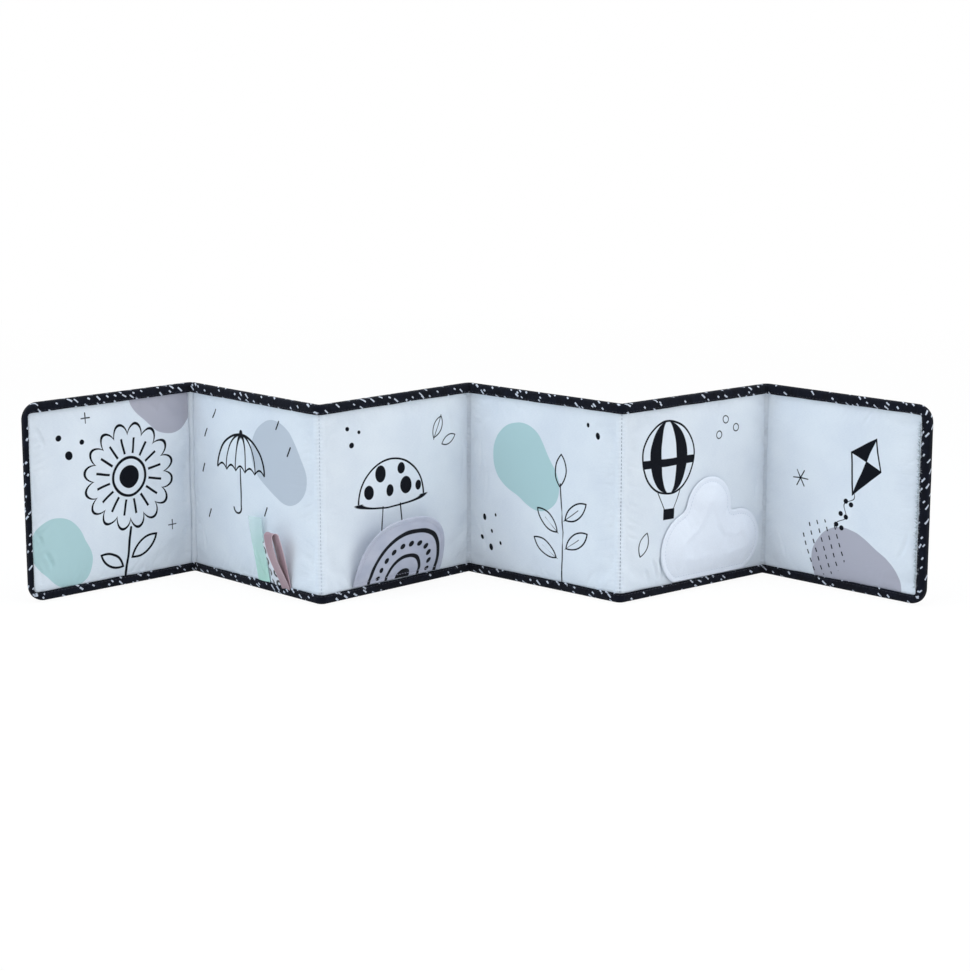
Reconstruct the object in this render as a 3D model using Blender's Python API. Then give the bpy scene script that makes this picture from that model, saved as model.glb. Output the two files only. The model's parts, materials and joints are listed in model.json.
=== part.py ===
# A soft fold-out baby book, standing open in a zigzag.
# Six padded cloth panels are bound in one cloth tape and hinged at five stitched folds.
# Panel 2 carries three ribbon tags, panel 3 an arch-shaped flap and panel 5 a cloud-shaped flap.

import math

import bmesh
import bpy
from mathutils import Matrix, Vector

# Driving sizes, in metres
PANEL_HEIGHT = 0.165
PANEL_PITCH = 0.162  # from one fold axis to the next
END_PANEL_LENGTH = 0.165  # from the outer end to the first fold axis
CORNER_RADIUS = 0.014  # outer corners of the two end panels
PAD_THICKNESS = 0.0098  # at the middle of a panel
PAD_EDGE_THICKNESS = 0.0012  # where the pad is sewn into the tape
CLOTH_THICKNESS = 0.0008
SEAM_THICKNESS = 0.0020  # both cloths pressed together along a fold's stitches
FOLD_MARGIN = 0.0020  # flat cloth beside each fold
TAPE_THICKNESS = 0.0013
TAPE_LEG = 0.008  # how far the tape reaches over either face
LEFT_END_LEG = 0.0035  # over the front at the left end, where the tape lies mostly behind
TAPE_ROLL_RADIUS = 0.0020
PIECE_GAP = 0.0003  # between touching pieces
CROWN_POWER = 3.0  # a higher power rises sooner beside the seams

# How the panels stand, as degrees from the row of folds: left to right, seen from the front
PANEL_HEADINGS = (43.3, -45.8, 44.7, -42.2, 39.7, -44.7)

# The arch flap, on panel 3
ARCH_WIDTH = 0.100
ARCH_HEIGHT = 0.0605
ARCH_CENTRE = 0.0775  # from fold 2, along the panel
ARCH_SKEW_SHARE = -0.07  # how far the top leans along the panel, as a share of its height
ARCH_SQUARENESS = 2.6  # 2 is a plain ellipse; higher fills the shoulders
ARCH_LEAN = 22.0  # degrees off the panel
ARCH_FILM_THICKNESS = 0.0003
ARCH_POINTS = 18

# The cloud flap, on panel 5: three round lobes on a straight sewn foot; each lobe's centre from
# fold 4, its radius, and how far its circle starts above the foot (the outer two are cut by it)
LEFT_LOBE = {"centre": 0.0690, "radius": 0.0318, "start": -0.0038}
TOP_LOBE = {"centre": 0.0910, "radius": 0.0265, "start": 0.0335}
RIGHT_LOBE = {"centre": 0.1265, "radius": 0.0280, "start": -0.0015}
CLOUD_WADDING_THICKNESS = 0.0024
CLOUD_SEAT = 0.0005  # from the panel's crown
LOBE_POINTS = 8

# Both flaps
FLAP_CLOTH_THICKNESS = 0.0007
FLAP_HEM = 0.0045  # from the rim to the row of stitches
FLAP_RISE = 0.0030  # from the stitches to the full filling
FOOT_POINTS = 5

# The ribbon tags, on panel 2: centre from fold 1, width, height and how far the tip stands
# off the cover
RIBBON_THICKNESS = 0.0008
RIBBON_BEND = 1.25  # above 1 a ribbon starts out along the panel and bends away
MINT_RIBBON = {"centre": 0.0955, "width": 0.0155, "height": 0.0560, "reach": 0.0045}
PRINTED_RIBBON = {"centre": 0.1118, "width": 0.0100, "height": 0.0370, "reach": 0.0075}
MAUVE_RIBBON = {"centre": 0.1230, "width": 0.0100, "height": 0.0450, "reach": 0.0120}
LOOP_GAP = 0.0034  # between the two layers of the looped ribbon

# Worked out from the sizes above
EDGE_STACK = PAD_EDGE_THICKNESS + 2 * CLOTH_THICKNESS + 2 * PIECE_GAP
SLOT_WIDTH = EDGE_STACK + 2 * PIECE_GAP
TAPE_WIDTH = SLOT_WIDTH + 2 * TAPE_THICKNESS
FACE_DEPTH = TAPE_WIDTH / 2  # from a panel's mid-plane to the face of its tape
LAYER_INSET = TAPE_THICKNESS + PIECE_GAP  # from the panel's outer edge to the edge of its layers
TAPE_MARGIN = TAPE_LEG - LAYER_INSET + PIECE_GAP  # layers lie flat this far, under the tape
FLAP_ROOT = FLAP_CLOTH_THICKNESS + PIECE_GAP / 2  # half of a flap's thickness at its foot
CLOUD_LOBES = (LEFT_LOBE, TOP_LOBE, RIGHT_LOBE)
PANEL_COUNT = len(PANEL_HEADINGS)
MIDDLE_PANEL = PANEL_COUNT // 2

# Shapes of curves, as shares
RISE_SHARES = (0.0, 0.08, 0.24, 0.52, 1.0)
FLAP_RING_SHARES = (0.35, 0.70)
ARCH_MIDDLE_SHARE = 0.42  # of the arch's height, where its rings meet
ARC_STEPS = 6
FOLD_STEPS = 6
RIBBON_STEPS = 8
BEND_STEPS = 5


def clear_scene():
    for item in list(bpy.data.objects):
        bpy.data.objects.remove(item, do_unlink=True)


def material(name, colour, roughness):
    finish = bpy.data.materials.new(name)
    finish.use_nodes = True
    shader = finish.node_tree.nodes["Principled BSDF"]
    shader.inputs["Base Color"].default_value = (*colour, 1.0)
    shader.inputs["Roughness"].default_value = roughness
    shader.inputs["Metallic"].default_value = 0.0
    return finish


def make_materials():
    return {
        "cover": material("white_cotton", (0.72, 0.79, 0.84), 0.85),
        "pad": material("white_wadding", (0.86, 0.86, 0.84), 0.95),
        "tape": material("black_dashed_tape", (0.014, 0.014, 0.022), 0.80),
        "arch": material("mauve_cotton", (0.38, 0.38, 0.48), 0.85),
        "film": material("crackle_film", (0.70, 0.72, 0.74), 0.30),
        "cloud": material("cloud_plush", (0.76, 0.82, 0.88), 0.90),
        "mint": material("mint_satin", (0.50, 0.74, 0.65), 0.40),
        "printed": material("printed_satin", (0.78, 0.82, 0.86), 0.45),
        "mauve": material("mauve_satin", (0.36, 0.26, 0.30), 0.40),
    }


def add_object(name, bm, finish, smooth_angle=50.0):
    bmesh.ops.recalc_face_normals(bm, faces=bm.faces)
    mesh = bpy.data.meshes.new(name)
    bm.to_mesh(mesh)
    bm.free()
    mesh.shade_smooth()
    mesh.set_sharp_from_angle(angle=math.radians(smooth_angle))
    mesh.materials.append(finish)
    item = bpy.data.objects.new(name, mesh)
    bpy.context.scene.collection.objects.link(item)
    return item


# Panels: x runs along a panel, y towards its back, z up; y is 0 on its mid-plane


class Panel:
    def __init__(self, index):
        self.index = index
        self.first = index == 0
        self.last = index == PANEL_COUNT - 1
        self.name = f"panel_{index + 1}"
        self.length = END_PANEL_LENGTH if self.first or self.last else PANEL_PITCH
        self.heading = math.radians(PANEL_HEADINGS[index])
        self.low = LAYER_INSET if self.first else PIECE_GAP
        self.high = self.length - (LAYER_INSET if self.last else PIECE_GAP)
        self.low_margin = TAPE_MARGIN if self.first else FOLD_MARGIN
        self.high_margin = TAPE_MARGIN if self.last else FOLD_MARGIN

    def axis_depth(self, fold):
        """Which face a fold closes on: its axis lies in the front face's plane or the back's."""
        return -FACE_DEPTH if fold % 2 == 0 else FACE_DEPTH

    def fold_axes(self):
        """The two fold axes of this panel in its own frame, or None at an outer end."""
        left = None if self.first else Vector((0.0, self.axis_depth(self.index - 1), 0.0))
        right = None if self.last else Vector((self.length, self.axis_depth(self.index), 0.0))
        return left, right

    def swell(self, x, z):
        """How far the pad has risen at a place: 0 on its sewn lines and 1 in the middle."""
        across = rise_share(x, self.low + self.low_margin, self.high - self.high_margin)
        bottom = LAYER_INSET + TAPE_MARGIN
        upward = rise_share(z, bottom, PANEL_HEIGHT - bottom)
        return across * upward

    def pad_depth(self, x, z):
        """From the mid-plane to the pad's surface."""
        full = PAD_THICKNESS - PAD_EDGE_THICKNESS
        return (PAD_EDGE_THICKNESS + full * self.swell(x, z)) / 2

    def cover_depth(self, x, z):
        """From the mid-plane to the outside of the cover cloth."""
        return self.pad_depth(x, z) + PIECE_GAP + CLOTH_THICKNESS

    def round_corner(self, x, z):
        """Moves a place of the square grid on to the rounded corners of an outer end."""
        radius = CORNER_RADIUS - LAYER_INSET
        middle = PANEL_HEIGHT / 2
        over = abs(z - middle) - (middle - CORNER_RADIUS)
        if self.first:
            past = CORNER_RADIUS - x
        elif self.last:
            past = x - (self.length - CORNER_RADIUS)
        else:
            return x, z
        if past <= 0 or over <= 0:
            return x, z
        across, upward = past / radius, over / radius
        moved = radius * across * math.sqrt(1 - upward**2 / 2)
        lifted = radius * upward * math.sqrt(1 - across**2 / 2)
        x = CORNER_RADIUS - moved if self.first else self.length - CORNER_RADIUS + moved
        z = middle + math.copysign(middle - CORNER_RADIUS + lifted, z - middle)
        return x, z


def rise_share(place, low, high):
    middle, half = (low + high) / 2, (high - low) / 2
    share = min(max(1 - abs(place - middle) / half, 0.0), 1.0)
    return 1 - (1 - share) ** CROWN_POWER


def grid_lines(low, high, low_margin, high_margin):
    """Lines across a panel, closer together beside the seams, where the crown rises."""
    start, end = low + low_margin, high - high_margin
    half = (end - start) / 2
    rising = [start + share * half for share in RISE_SHARES]
    falling = [end - share * half for share in reversed(RISE_SHARES[:-1])]
    return [low, *rising, *falling, high]


def quilted_surface(bm, panel, depth):
    """A grid over the panel, with each vertex at its own depth from the mid-plane."""
    columns = grid_lines(panel.low, panel.high, panel.low_margin, panel.high_margin)
    rows = grid_lines(LAYER_INSET, PANEL_HEIGHT - LAYER_INSET, TAPE_MARGIN, TAPE_MARGIN)
    grid = []
    for x in columns:
        line = []
        for z in rows:
            at_x, at_z = panel.round_corner(x, z)
            line.append(bm.verts.new((at_x, depth(x, z), at_z)))
        grid.append(line)
    for left, right in zip(grid, grid[1:]):
        for n in range(len(rows) - 1):
            bm.faces.new((left[n], right[n], right[n + 1], left[n + 1]))


def close_between(bm):
    """Joins the open rims of two surfaces, so that they enclose one body."""
    rims = [edge for edge in bm.edges if edge.is_boundary]
    bmesh.ops.bridge_loops(bm, edges=rims)


def make_pad(panel, finish):
    bm = bmesh.new()
    quilted_surface(bm, panel, lambda x, z: -panel.pad_depth(x, z))
    quilted_surface(bm, panel, lambda x, z: panel.pad_depth(x, z))
    close_between(bm)
    return add_object(f"{panel.name}_pad", bm, finish)


def make_cover(panel, side, finish):
    """The front cloth (side -1) or the back cloth (side 1), lying over the pad."""
    bm = bmesh.new()
    quilted_surface(bm, panel, lambda x, z: side * (panel.pad_depth(x, z) + PIECE_GAP))
    quilted_surface(bm, panel, lambda x, z: side * panel.cover_depth(x, z))
    close_between(bm)
    face = "front" if side < 0 else "back"
    return add_object(f"{panel.name}_{face}_cloth", bm, finish)


# The binding tape: a U folded over the raw edge of the layers


def tape_outline(front_leg=TAPE_LEG):
    """The tape's section as (y, inward) points, from the front leg's tip round to the back's."""
    points = [(-FACE_DEPTH, front_leg)]
    for turn, side in ((0, -1), (1, 1)):
        for step in range(ARC_STEPS // 2 + 1):
            share = step / (ARC_STEPS // 2)
            angle = math.radians(90) * (share if turn == 0 else 1 - share)
            out = TAPE_ROLL_RADIUS * (1 - math.cos(angle))
            deep = TAPE_ROLL_RADIUS * (1 - math.sin(angle))
            points.append((side * (FACE_DEPTH - out), deep))
    points.append((FACE_DEPTH, TAPE_LEG))
    points.append((SLOT_WIDTH / 2, TAPE_LEG))
    points.append((SLOT_WIDTH / 2, TAPE_THICKNESS))
    points.append((-SLOT_WIDTH / 2, TAPE_THICKNESS))
    points.append((-SLOT_WIDTH / 2, front_leg))
    return points


def loft(bm, rings):
    """Walls between rings of points, closed by a face at either end."""
    loops = [[bm.verts.new(point) for point in ring] for ring in rings]
    for near, far in zip(loops, loops[1:]):
        for n in range(len(near)):
            m = (n + 1) % len(near)
            bm.faces.new((near[n], near[m], far[m], far[n]))
    bm.faces.new(loops[0])
    bm.faces.new(loops[-1])


def tape_ring(place, turned=0.0, front_leg=TAPE_LEG):
    """The tape's section at a place on the panel's outline, turned from the top edge's way."""
    spin = Matrix.Rotation(turned, 3, "Y")
    return [place + spin @ Vector((0, y, -deep)) for y, deep in tape_outline(front_leg)]


def make_straight_tape(panel, top, finish):
    level, turned = (PANEL_HEIGHT, 0.0) if top else (0.0, math.radians(180))
    bm = bmesh.new()
    ends = (PIECE_GAP, panel.length - PIECE_GAP)
    loft(bm, [tape_ring(Vector((x, 0, level)), turned) for x in ends])
    edge = "top" if top else "bottom"
    return add_object(f"{panel.name}_{edge}_binding", bm, finish)


def make_end_tape(panel, finish):
    """One length of tape along the top, round both outer corners and along the bottom."""
    outward = -1 if panel.first else 1
    end_leg = LEFT_END_LEG if panel.first else TAPE_LEG
    fold = panel.length - PIECE_GAP if panel.first else PIECE_GAP
    outer = 0.0 if panel.first else panel.length
    middle = outer - outward * CORNER_RADIUS
    rings = [tape_ring(Vector((fold, 0, PANEL_HEIGHT)))]
    for level, start in ((PANEL_HEIGHT - CORNER_RADIUS, 0), (CORNER_RADIUS, 90)):
        for step in range(ARC_STEPS + 1):
            angle = outward * math.radians(start + 90 * step / ARC_STEPS)
            centre = Vector((middle, 0, level))
            out = Matrix.Rotation(angle, 3, "Y") @ Vector((0, 0, CORNER_RADIUS))
            upright = abs(math.sin(angle))
            leg = TAPE_LEG + (end_leg - TAPE_LEG) * upright
            rings.append(tape_ring(centre + out, angle, leg))
    rings.append(tape_ring(Vector((fold, 0, 0)), math.radians(180)))
    bm = bmesh.new()
    loft(bm, rings)
    return add_object(f"{panel.name}_binding", bm, finish)


# Folds: the cloth and the tape turn about the axis, from one panel's end to the next one's


def fold_angle(panel, following):
    return following.heading - panel.heading


def fold_radius(panel, y):
    """The distance of a place in the panel's end from the axis of the fold there."""
    side = panel.axis_depth(panel.index)
    return max(abs(y - side), PIECE_GAP)


def fold_place(panel, y):
    side = panel.axis_depth(panel.index)
    return side - math.copysign(fold_radius(panel, y), side)


def fold_rings(panel, following, section):
    """A section at the panel's end, turned step by step about the fold's axis to the next panel.

    The section is a function of how far round the fold the ring is.
    """
    centre = panel.fold_axes()[1]
    total = fold_angle(panel, following)
    rings = []
    for step in range(FOLD_STEPS + 1):
        share = step / FOLD_STEPS
        spin = Matrix.Rotation(total * share, 3, "Z")
        rings.append([centre + spin @ Vector((0, y - centre.y, z)) for y, z in section(share)])
    return rings


def make_fold_tape(panel, following, top, finish):
    level, inward = (PANEL_HEIGHT, -1) if top else (0.0, 1)
    section = [(fold_place(panel, y), level + inward * deep) for y, deep in tape_outline()]
    bm = bmesh.new()
    loft(bm, fold_rings(panel, following, lambda share: section))
    edge = "top" if top else "bottom"
    return add_object(f"fold_{panel.index + 1}_{edge}_binding", bm, finish)


def make_fold_seam(panel, following, finish):
    """Both cloths round a fold, pressed thin along the stitches at its middle."""
    bottom, top = LAYER_INSET, PANEL_HEIGHT - LAYER_INSET

    def section(share):
        pinch = math.sin(math.pi * share)
        half = (EDGE_STACK + (SEAM_THICKNESS - EDGE_STACK) * pinch) / 2
        return (-half, bottom), (half, bottom), (half, top), (-half, top)

    bm = bmesh.new()
    loft(bm, fold_rings(panel, following, section))
    return add_object(f"fold_{panel.index + 1}_seam", bm, finish)


# Flaps: x runs along the panel, z up the flap, y towards the panel; the hinge line is z = 0


def arch_outline():
    """The foot from right to left, then the arch from left to right."""
    half = ARCH_WIDTH / 2
    points = []
    for step in range(FOOT_POINTS):
        points.append(Vector((half * (1 - 2 * step / FOOT_POINTS), -FLAP_ROOT)))
    for step in range(ARCH_POINTS):
        angle = math.radians(180) * (1 - step / ARCH_POINTS)
        power = 2 / ARCH_SQUARENESS
        rise = ARCH_HEIGHT * math.sin(angle) ** power
        across = half * math.copysign(abs(math.cos(angle)) ** power, math.cos(angle))
        across += ARCH_SKEW_SHARE * rise
        points.append(Vector((across, rise - FLAP_ROOT)))
    return points


def lobe_middle(lobe):
    return Vector((lobe["centre"], lobe["start"] + lobe["radius"]))


def circle_meeting(left, right):
    """Where two neighbouring lobes meet, on the cloud's outer side."""
    a = lobe_middle(left)
    between = lobe_middle(right) - a
    apart = between.length
    along = (left["radius"] ** 2 - right["radius"] ** 2 + apart**2) / (2 * apart)
    aside = math.sqrt(left["radius"] ** 2 - along**2)
    across = Vector((-between.y, between.x)) / apart
    return a + between / apart * along + across * aside


def foot_meeting(lobe, side):
    """Where a lobe meets the flap's straight foot."""
    middle = lobe_middle(lobe)
    reach = math.sqrt(lobe["radius"] ** 2 - middle.y**2)
    return Vector((middle.x + side * reach, 0.0))


def cloud_outline():
    """The foot from right to left, then the three lobes from left to right."""
    corners = [foot_meeting(CLOUD_LOBES[0], -1)]
    corners += [circle_meeting(a, b) for a, b in zip(CLOUD_LOBES, CLOUD_LOBES[1:])]
    corners.append(foot_meeting(CLOUD_LOBES[-1], 1))
    points = []
    for step in range(FOOT_POINTS):
        points.append(corners[-1].lerp(corners[0], step / FOOT_POINTS))
    for lobe, start, end in zip(CLOUD_LOBES, corners, corners[1:]):
        middle = lobe_middle(lobe)
        first = math.atan2(start.y - middle.y, start.x - middle.x) % math.radians(360)
        last = math.atan2(end.y - middle.y, end.x - middle.x)
        for step in range(LOBE_POINTS):
            angle = first + (last - first) * step / LOBE_POINTS
            points.append(middle + lobe["radius"] * Vector((math.cos(angle), math.sin(angle))))
    return [point - Vector((0, FLAP_ROOT)) for point in points]


def flap_rings(outline, centre):
    """Rings from the rim to the middle, each with how far the filling has risen there."""
    rings = [(outline, 0.0)]
    for inset, risen in ((FLAP_HEM, 0.0), (FLAP_HEM + FLAP_RISE, 1.0)):
        ring = []
        for point in outline:
            away = point - centre
            ring.append(centre + away * (1 - inset / away.length))
        rings.append((ring, risen))
    inner = rings[-1][0]
    for share in FLAP_RING_SHARES:
        rings.append(([point.lerp(centre, share) for point in inner], 1.0))
    return rings


def flap_surface(bm, rings, centre, depth):
    """A surface over the rings; depth gives y at a place for how far the filling has risen."""
    loops = []
    for ring, risen in rings:
        loops.append([bm.verts.new((p.x, depth(p.x, p.y, risen), p.y)) for p in ring])
    for outer, inner in zip(loops, loops[1:]):
        for n in range(len(outer)):
            m = (n + 1) % len(outer)
            bm.faces.new((outer[n], outer[m], inner[m], inner[n]))
    risen = rings[-1][1]
    top = bm.verts.new((centre.x, depth(centre.x, centre.y, risen), centre.y))
    last = loops[-1]
    for n in range(len(last)):
        bm.faces.new((last[n], last[(n + 1) % len(last)], top))


def make_flap(name, outline, centre, filling, middle_depth, filling_name, finishes):
    """Front cloth, back cloth and the filling between them, about the flap's own mid-surface."""
    rings = flap_rings(outline, centre)
    fill_rings = [(ring, risen) for ring, risen in rings[2:]]

    def inside(risen):
        return PIECE_GAP / 2 + (filling + PIECE_GAP) / 2 * risen

    made = []
    for face, side in (("front", -1), ("back", 1)):
        bm = bmesh.new()
        for skin in (0.0, FLAP_CLOTH_THICKNESS):

            def depth(x, z, risen, skin=skin, side=side):
                return middle_depth(x, z, risen) + side * (inside(risen) + skin)

            flap_surface(bm, rings, centre, depth)
        close_between(bm)
        made.append(add_object(f"{name}_{face}_cloth", bm, finishes["cloth"]))
    bm = bmesh.new()
    for side in (-1, 1):

        def depth(x, z, risen, side=side):
            return middle_depth(x, z, risen) + side * filling / 2

        flap_surface(bm, fill_rings, centre, depth)
    close_between(bm)
    made.append(add_object(f"{name}_{filling_name}", bm, finishes["filling"]))
    return made


def flap_hinge(panel, along):
    """A flap's hinge line: just above the bottom tape and clear of the cover as it swings."""
    corner = FLAP_ROOT * math.sqrt(2)
    height = TAPE_LEG + PIECE_GAP + corner
    cover = panel.cover_depth(along, height + corner)
    return Vector((0.0, -(cover + PIECE_GAP + corner), height))


def make_arch_flap(panel, finishes):
    rise = ARCH_HEIGHT * ARCH_MIDDLE_SHARE
    centre = Vector((ARCH_SKEW_SHARE * rise, rise))
    return make_flap(
        "arch_flap", arch_outline(), centre, ARCH_FILM_THICKNESS,
        lambda x, z, risen: 0.0, "crackle_film", finishes,
    )


def make_cloud_flap(panel, hinge, finishes):
    """The cloud lies on the panel's crown, so its layers follow that curve."""

    def middle_depth(x, z, risen):
        filling = (CLOUD_WADDING_THICKNESS + PIECE_GAP) / 2 * risen
        half = PIECE_GAP / 2 + filling + FLAP_CLOTH_THICKNESS
        resting = -(panel.cover_depth(x, z + hinge.z) + CLOUD_SEAT + half) - hinge.y
        return min(resting, 0.0)

    across = sum(lobe["centre"] for lobe in CLOUD_LOBES) / len(CLOUD_LOBES)
    centre = Vector((across, lobe_middle(LEFT_LOBE).y))
    return make_flap(
        "cloud_flap", cloud_outline(), centre, CLOUD_WADDING_THICKNESS,
        middle_depth, "wadding", finishes,
    )


# Ribbon tags: strips that stand in the bottom seam of panel 2 and lean away from it


def strip(name, path, width, finish):
    """A flat strip along a path of (y, z) places, with square ends."""
    bm = bmesh.new()
    rings = []
    for n, point in enumerate(path):
        before, after = path[max(n - 1, 0)], path[min(n + 1, len(path) - 1)]
        along = (after - before).normalized()
        out = Vector((-along.y, along.x)) * RIBBON_THICKNESS / 2
        corners = ((-width / 2, -1), (width / 2, -1), (width / 2, 1), (-width / 2, 1))
        rings.append([(x, *(point + side * out)) for x, side in corners])
    loft(bm, rings)
    return add_object(name, bm, finish)


def leaning_path(panel, ribbon):
    """From the seam up over the cover, bending away from it as far as the ribbon's reach."""
    path = []
    for step in range(RIBBON_STEPS + 1):
        share = step / RIBBON_STEPS
        height = TAPE_LEG + PIECE_GAP + ribbon["height"] * share
        sides = (ribbon["centre"] - ribbon["width"] / 2, ribbon["centre"] + ribbon["width"] / 2)
        cover = max(panel.cover_depth(x, height) for x in sides)
        away = cover + PIECE_GAP + RIBBON_THICKNESS / 2 + ribbon["reach"] * share**RIBBON_BEND
        path.append(Vector((-away, height)))
    return path


def make_ribbons(panel, finishes):
    """The mint tag and the printed tag are single strips; the mauve one is a loop."""
    made = []
    for name, ribbon in (("mint", MINT_RIBBON), ("printed", PRINTED_RIBBON)):
        path = leaning_path(panel, ribbon)
        item = strip(f"{name}_ribbon", path, ribbon["width"], finishes[name])
        item.location.x = ribbon["centre"]
        made.append(item)
    made.append(make_loop(leaning_path(panel, MAUVE_RIBBON), finishes["mauve"]))
    return made


def make_loop(near, finish):
    """A ribbon folded back on itself: up one path, over a round top and down beside it."""
    foot = RIBBON_THICKNESS + PIECE_GAP
    wide = LOOP_GAP + RIBBON_THICKNESS
    far = []
    for n, point in enumerate(near):
        share = n / (len(near) - 1)
        apart = foot + (wide - foot) * math.sin(math.radians(90) * share)
        far.append(point - Vector((apart, 0.0)))
    top = (near[-1] + far[-1]) / 2
    bend = []
    for step in range(1, BEND_STEPS):
        angle = math.radians(180) * step / BEND_STEPS
        bend.append(top + wide / 2 * Vector((math.cos(angle), math.sin(angle))))
    path = [*near, *bend, *reversed(far)]
    item = strip("mauve_ribbon", path, MAUVE_RIBBON["width"], finish)
    item.location.x = MAUVE_RIBBON["centre"]
    return item


# Placing


def panel_places(panels):
    """Each panel's frame in the plan, chained fold by fold from the left end."""
    places = []
    for panel in panels:
        turned = Matrix.Rotation(panel.heading, 4, "Z")
        left = panel.fold_axes()[0]
        if left is None:
            places.append(turned)
            continue
        before = panels[panel.index - 1]
        axis = places[-1] @ before.fold_axes()[1]
        places.append(Matrix.Translation(axis) @ turned @ Matrix.Translation(-left))
    return places


def add_empty(name, place, parent, parent_place):
    """An empty at a place in the plan, held by its parent's frame."""
    empty = bpy.data.objects.new(name, None)
    bpy.context.scene.collection.objects.link(empty)
    empty.parent = parent
    empty.matrix_basis = parent_place.inverted() @ place
    return empty


def carry(items, holder, offset):
    """Parents pieces that are built in a panel's frame to the empty on its joint axis."""
    for item in items:
        item.location = item.location + offset
        item.parent = holder


def make_panel(panel, finishes):
    made = [
        make_pad(panel, finishes["pad"]),
        make_cover(panel, -1, finishes["cover"]),
        make_cover(panel, 1, finishes["cover"]),
    ]
    if panel.first or panel.last:
        made.append(make_end_tape(panel, finishes["tape"]))
    else:
        made.append(make_straight_tape(panel, True, finishes["tape"]))
        made.append(make_straight_tape(panel, False, finishes["tape"]))
    return made


def make_fold(panel, following, finishes):
    return [
        make_fold_seam(panel, following, finishes["cover"]),
        make_fold_tape(panel, following, True, finishes["tape"]),
        make_fold_tape(panel, following, False, finishes["tape"]),
    ]


def make_flaps_and_tags(panels, holders, offsets, finishes):
    ribbon_panel, arch_panel, cloud_panel = panels[1], panels[2], panels[4]
    carry(make_ribbons(ribbon_panel, finishes), holders[1], offsets[1])

    hinge = flap_hinge(arch_panel, ARCH_CENTRE)
    arch_place = Matrix.Translation(offsets[2] + hinge + Vector((ARCH_CENTRE, 0, 0)))
    lean = Matrix.Rotation(math.radians(ARCH_LEAN), 4, "X")
    arch_holder = add_empty("arch_flap_axis", arch_place @ lean, holders[2], Matrix())
    arch = make_arch_flap(arch_panel, {"cloth": finishes["arch"], "filling": finishes["film"]})
    carry(arch, arch_holder, Vector())

    hinge = flap_hinge(cloud_panel, CLOUD_LOBES[1]["centre"])
    cloud_place = Matrix.Translation(offsets[4] + hinge)
    cloud_holder = add_empty("cloud_flap_axis", cloud_place, holders[4], Matrix())
    cloud = make_cloud_flap(cloud_panel, hinge, {"cloth": finishes["cloud"], "filling": finishes["pad"]})
    carry(cloud, cloud_holder, Vector())


def centre_on_floor(root):
    """Moves the whole book so that its box stands centred over the origin."""
    bpy.context.view_layer.update()
    corners = []
    for item in bpy.context.scene.objects:
        if item.type == "MESH":
            corners += [item.matrix_world @ vert.co for vert in item.data.vertices]
    low = [min(corner[axis] for corner in corners) for axis in range(3)]
    high = [max(corner[axis] for corner in corners) for axis in range(3)]
    root.location.x -= (low[0] + high[0]) / 2
    root.location.y -= (low[1] + high[1]) / 2
    root.location.z -= low[2]


def build():
    clear_scene()
    finishes = make_materials()
    panels = [Panel(index) for index in range(PANEL_COUNT)]
    places = panel_places(panels)

    # Each panel's joint axis: the root panel has none, and the others turn on the side facing it
    root_index = MIDDLE_PANEL - 1
    axes = []
    for panel in panels:
        left, right = panel.fold_axes()
        if panel.index == root_index:
            axes.append(Vector())
        else:
            axes.append(right if panel.index < root_index else left)
    frames = [place @ Matrix.Translation(axis) for place, axis in zip(places, axes)]
    offsets = [-axis for axis in axes]

    holders = [None] * PANEL_COUNT
    root = add_empty("book", frames[root_index], None, Matrix())
    holders[root_index] = root
    for index in range(root_index + 1, PANEL_COUNT):
        name = f"fold_{index}_axis"
        holders[index] = add_empty(name, frames[index], holders[index - 1], frames[index - 1])
    for index in range(root_index - 1, -1, -1):
        name = f"fold_{index + 1}_axis"
        holders[index] = add_empty(name, frames[index], holders[index + 1], frames[index + 1])

    for panel in panels:
        carry(make_panel(panel, finishes), holders[panel.index], offsets[panel.index])
        if not panel.last:
            following = panels[panel.index + 1]
            carry(make_fold(panel, following, finishes), holders[panel.index], offsets[panel.index])
    make_flaps_and_tags(panels, holders, offsets, finishes)
    centre_on_floor(root)
    bpy.context.view_layer.update()


build()
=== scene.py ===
import json
import math

import bmesh
import bpy
import numpy as np
from mathutils import Matrix, Vector, noise
from mathutils.geometry import delaunay_2d_cdt


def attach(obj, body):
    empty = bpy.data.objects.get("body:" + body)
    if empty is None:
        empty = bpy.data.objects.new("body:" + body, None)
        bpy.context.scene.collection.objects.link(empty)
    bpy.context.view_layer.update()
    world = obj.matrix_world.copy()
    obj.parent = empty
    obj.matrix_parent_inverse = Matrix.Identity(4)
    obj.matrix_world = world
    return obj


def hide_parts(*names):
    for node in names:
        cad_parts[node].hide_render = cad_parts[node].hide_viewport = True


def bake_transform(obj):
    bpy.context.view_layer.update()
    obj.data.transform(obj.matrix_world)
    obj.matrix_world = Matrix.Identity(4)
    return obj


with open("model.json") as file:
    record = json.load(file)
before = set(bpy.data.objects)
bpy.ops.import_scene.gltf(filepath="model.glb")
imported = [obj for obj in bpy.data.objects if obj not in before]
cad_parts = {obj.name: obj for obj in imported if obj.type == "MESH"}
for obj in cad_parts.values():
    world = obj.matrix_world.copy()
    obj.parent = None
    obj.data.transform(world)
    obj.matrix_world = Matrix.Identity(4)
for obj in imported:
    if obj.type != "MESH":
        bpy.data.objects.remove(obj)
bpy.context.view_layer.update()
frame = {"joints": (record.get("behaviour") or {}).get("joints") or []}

# A soft black and white baby book: six padded panels in a zigzag, bound in one dashed tape.
# Lengths are in metres. On a panel, x runs along it, y to its back and z up.

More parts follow.
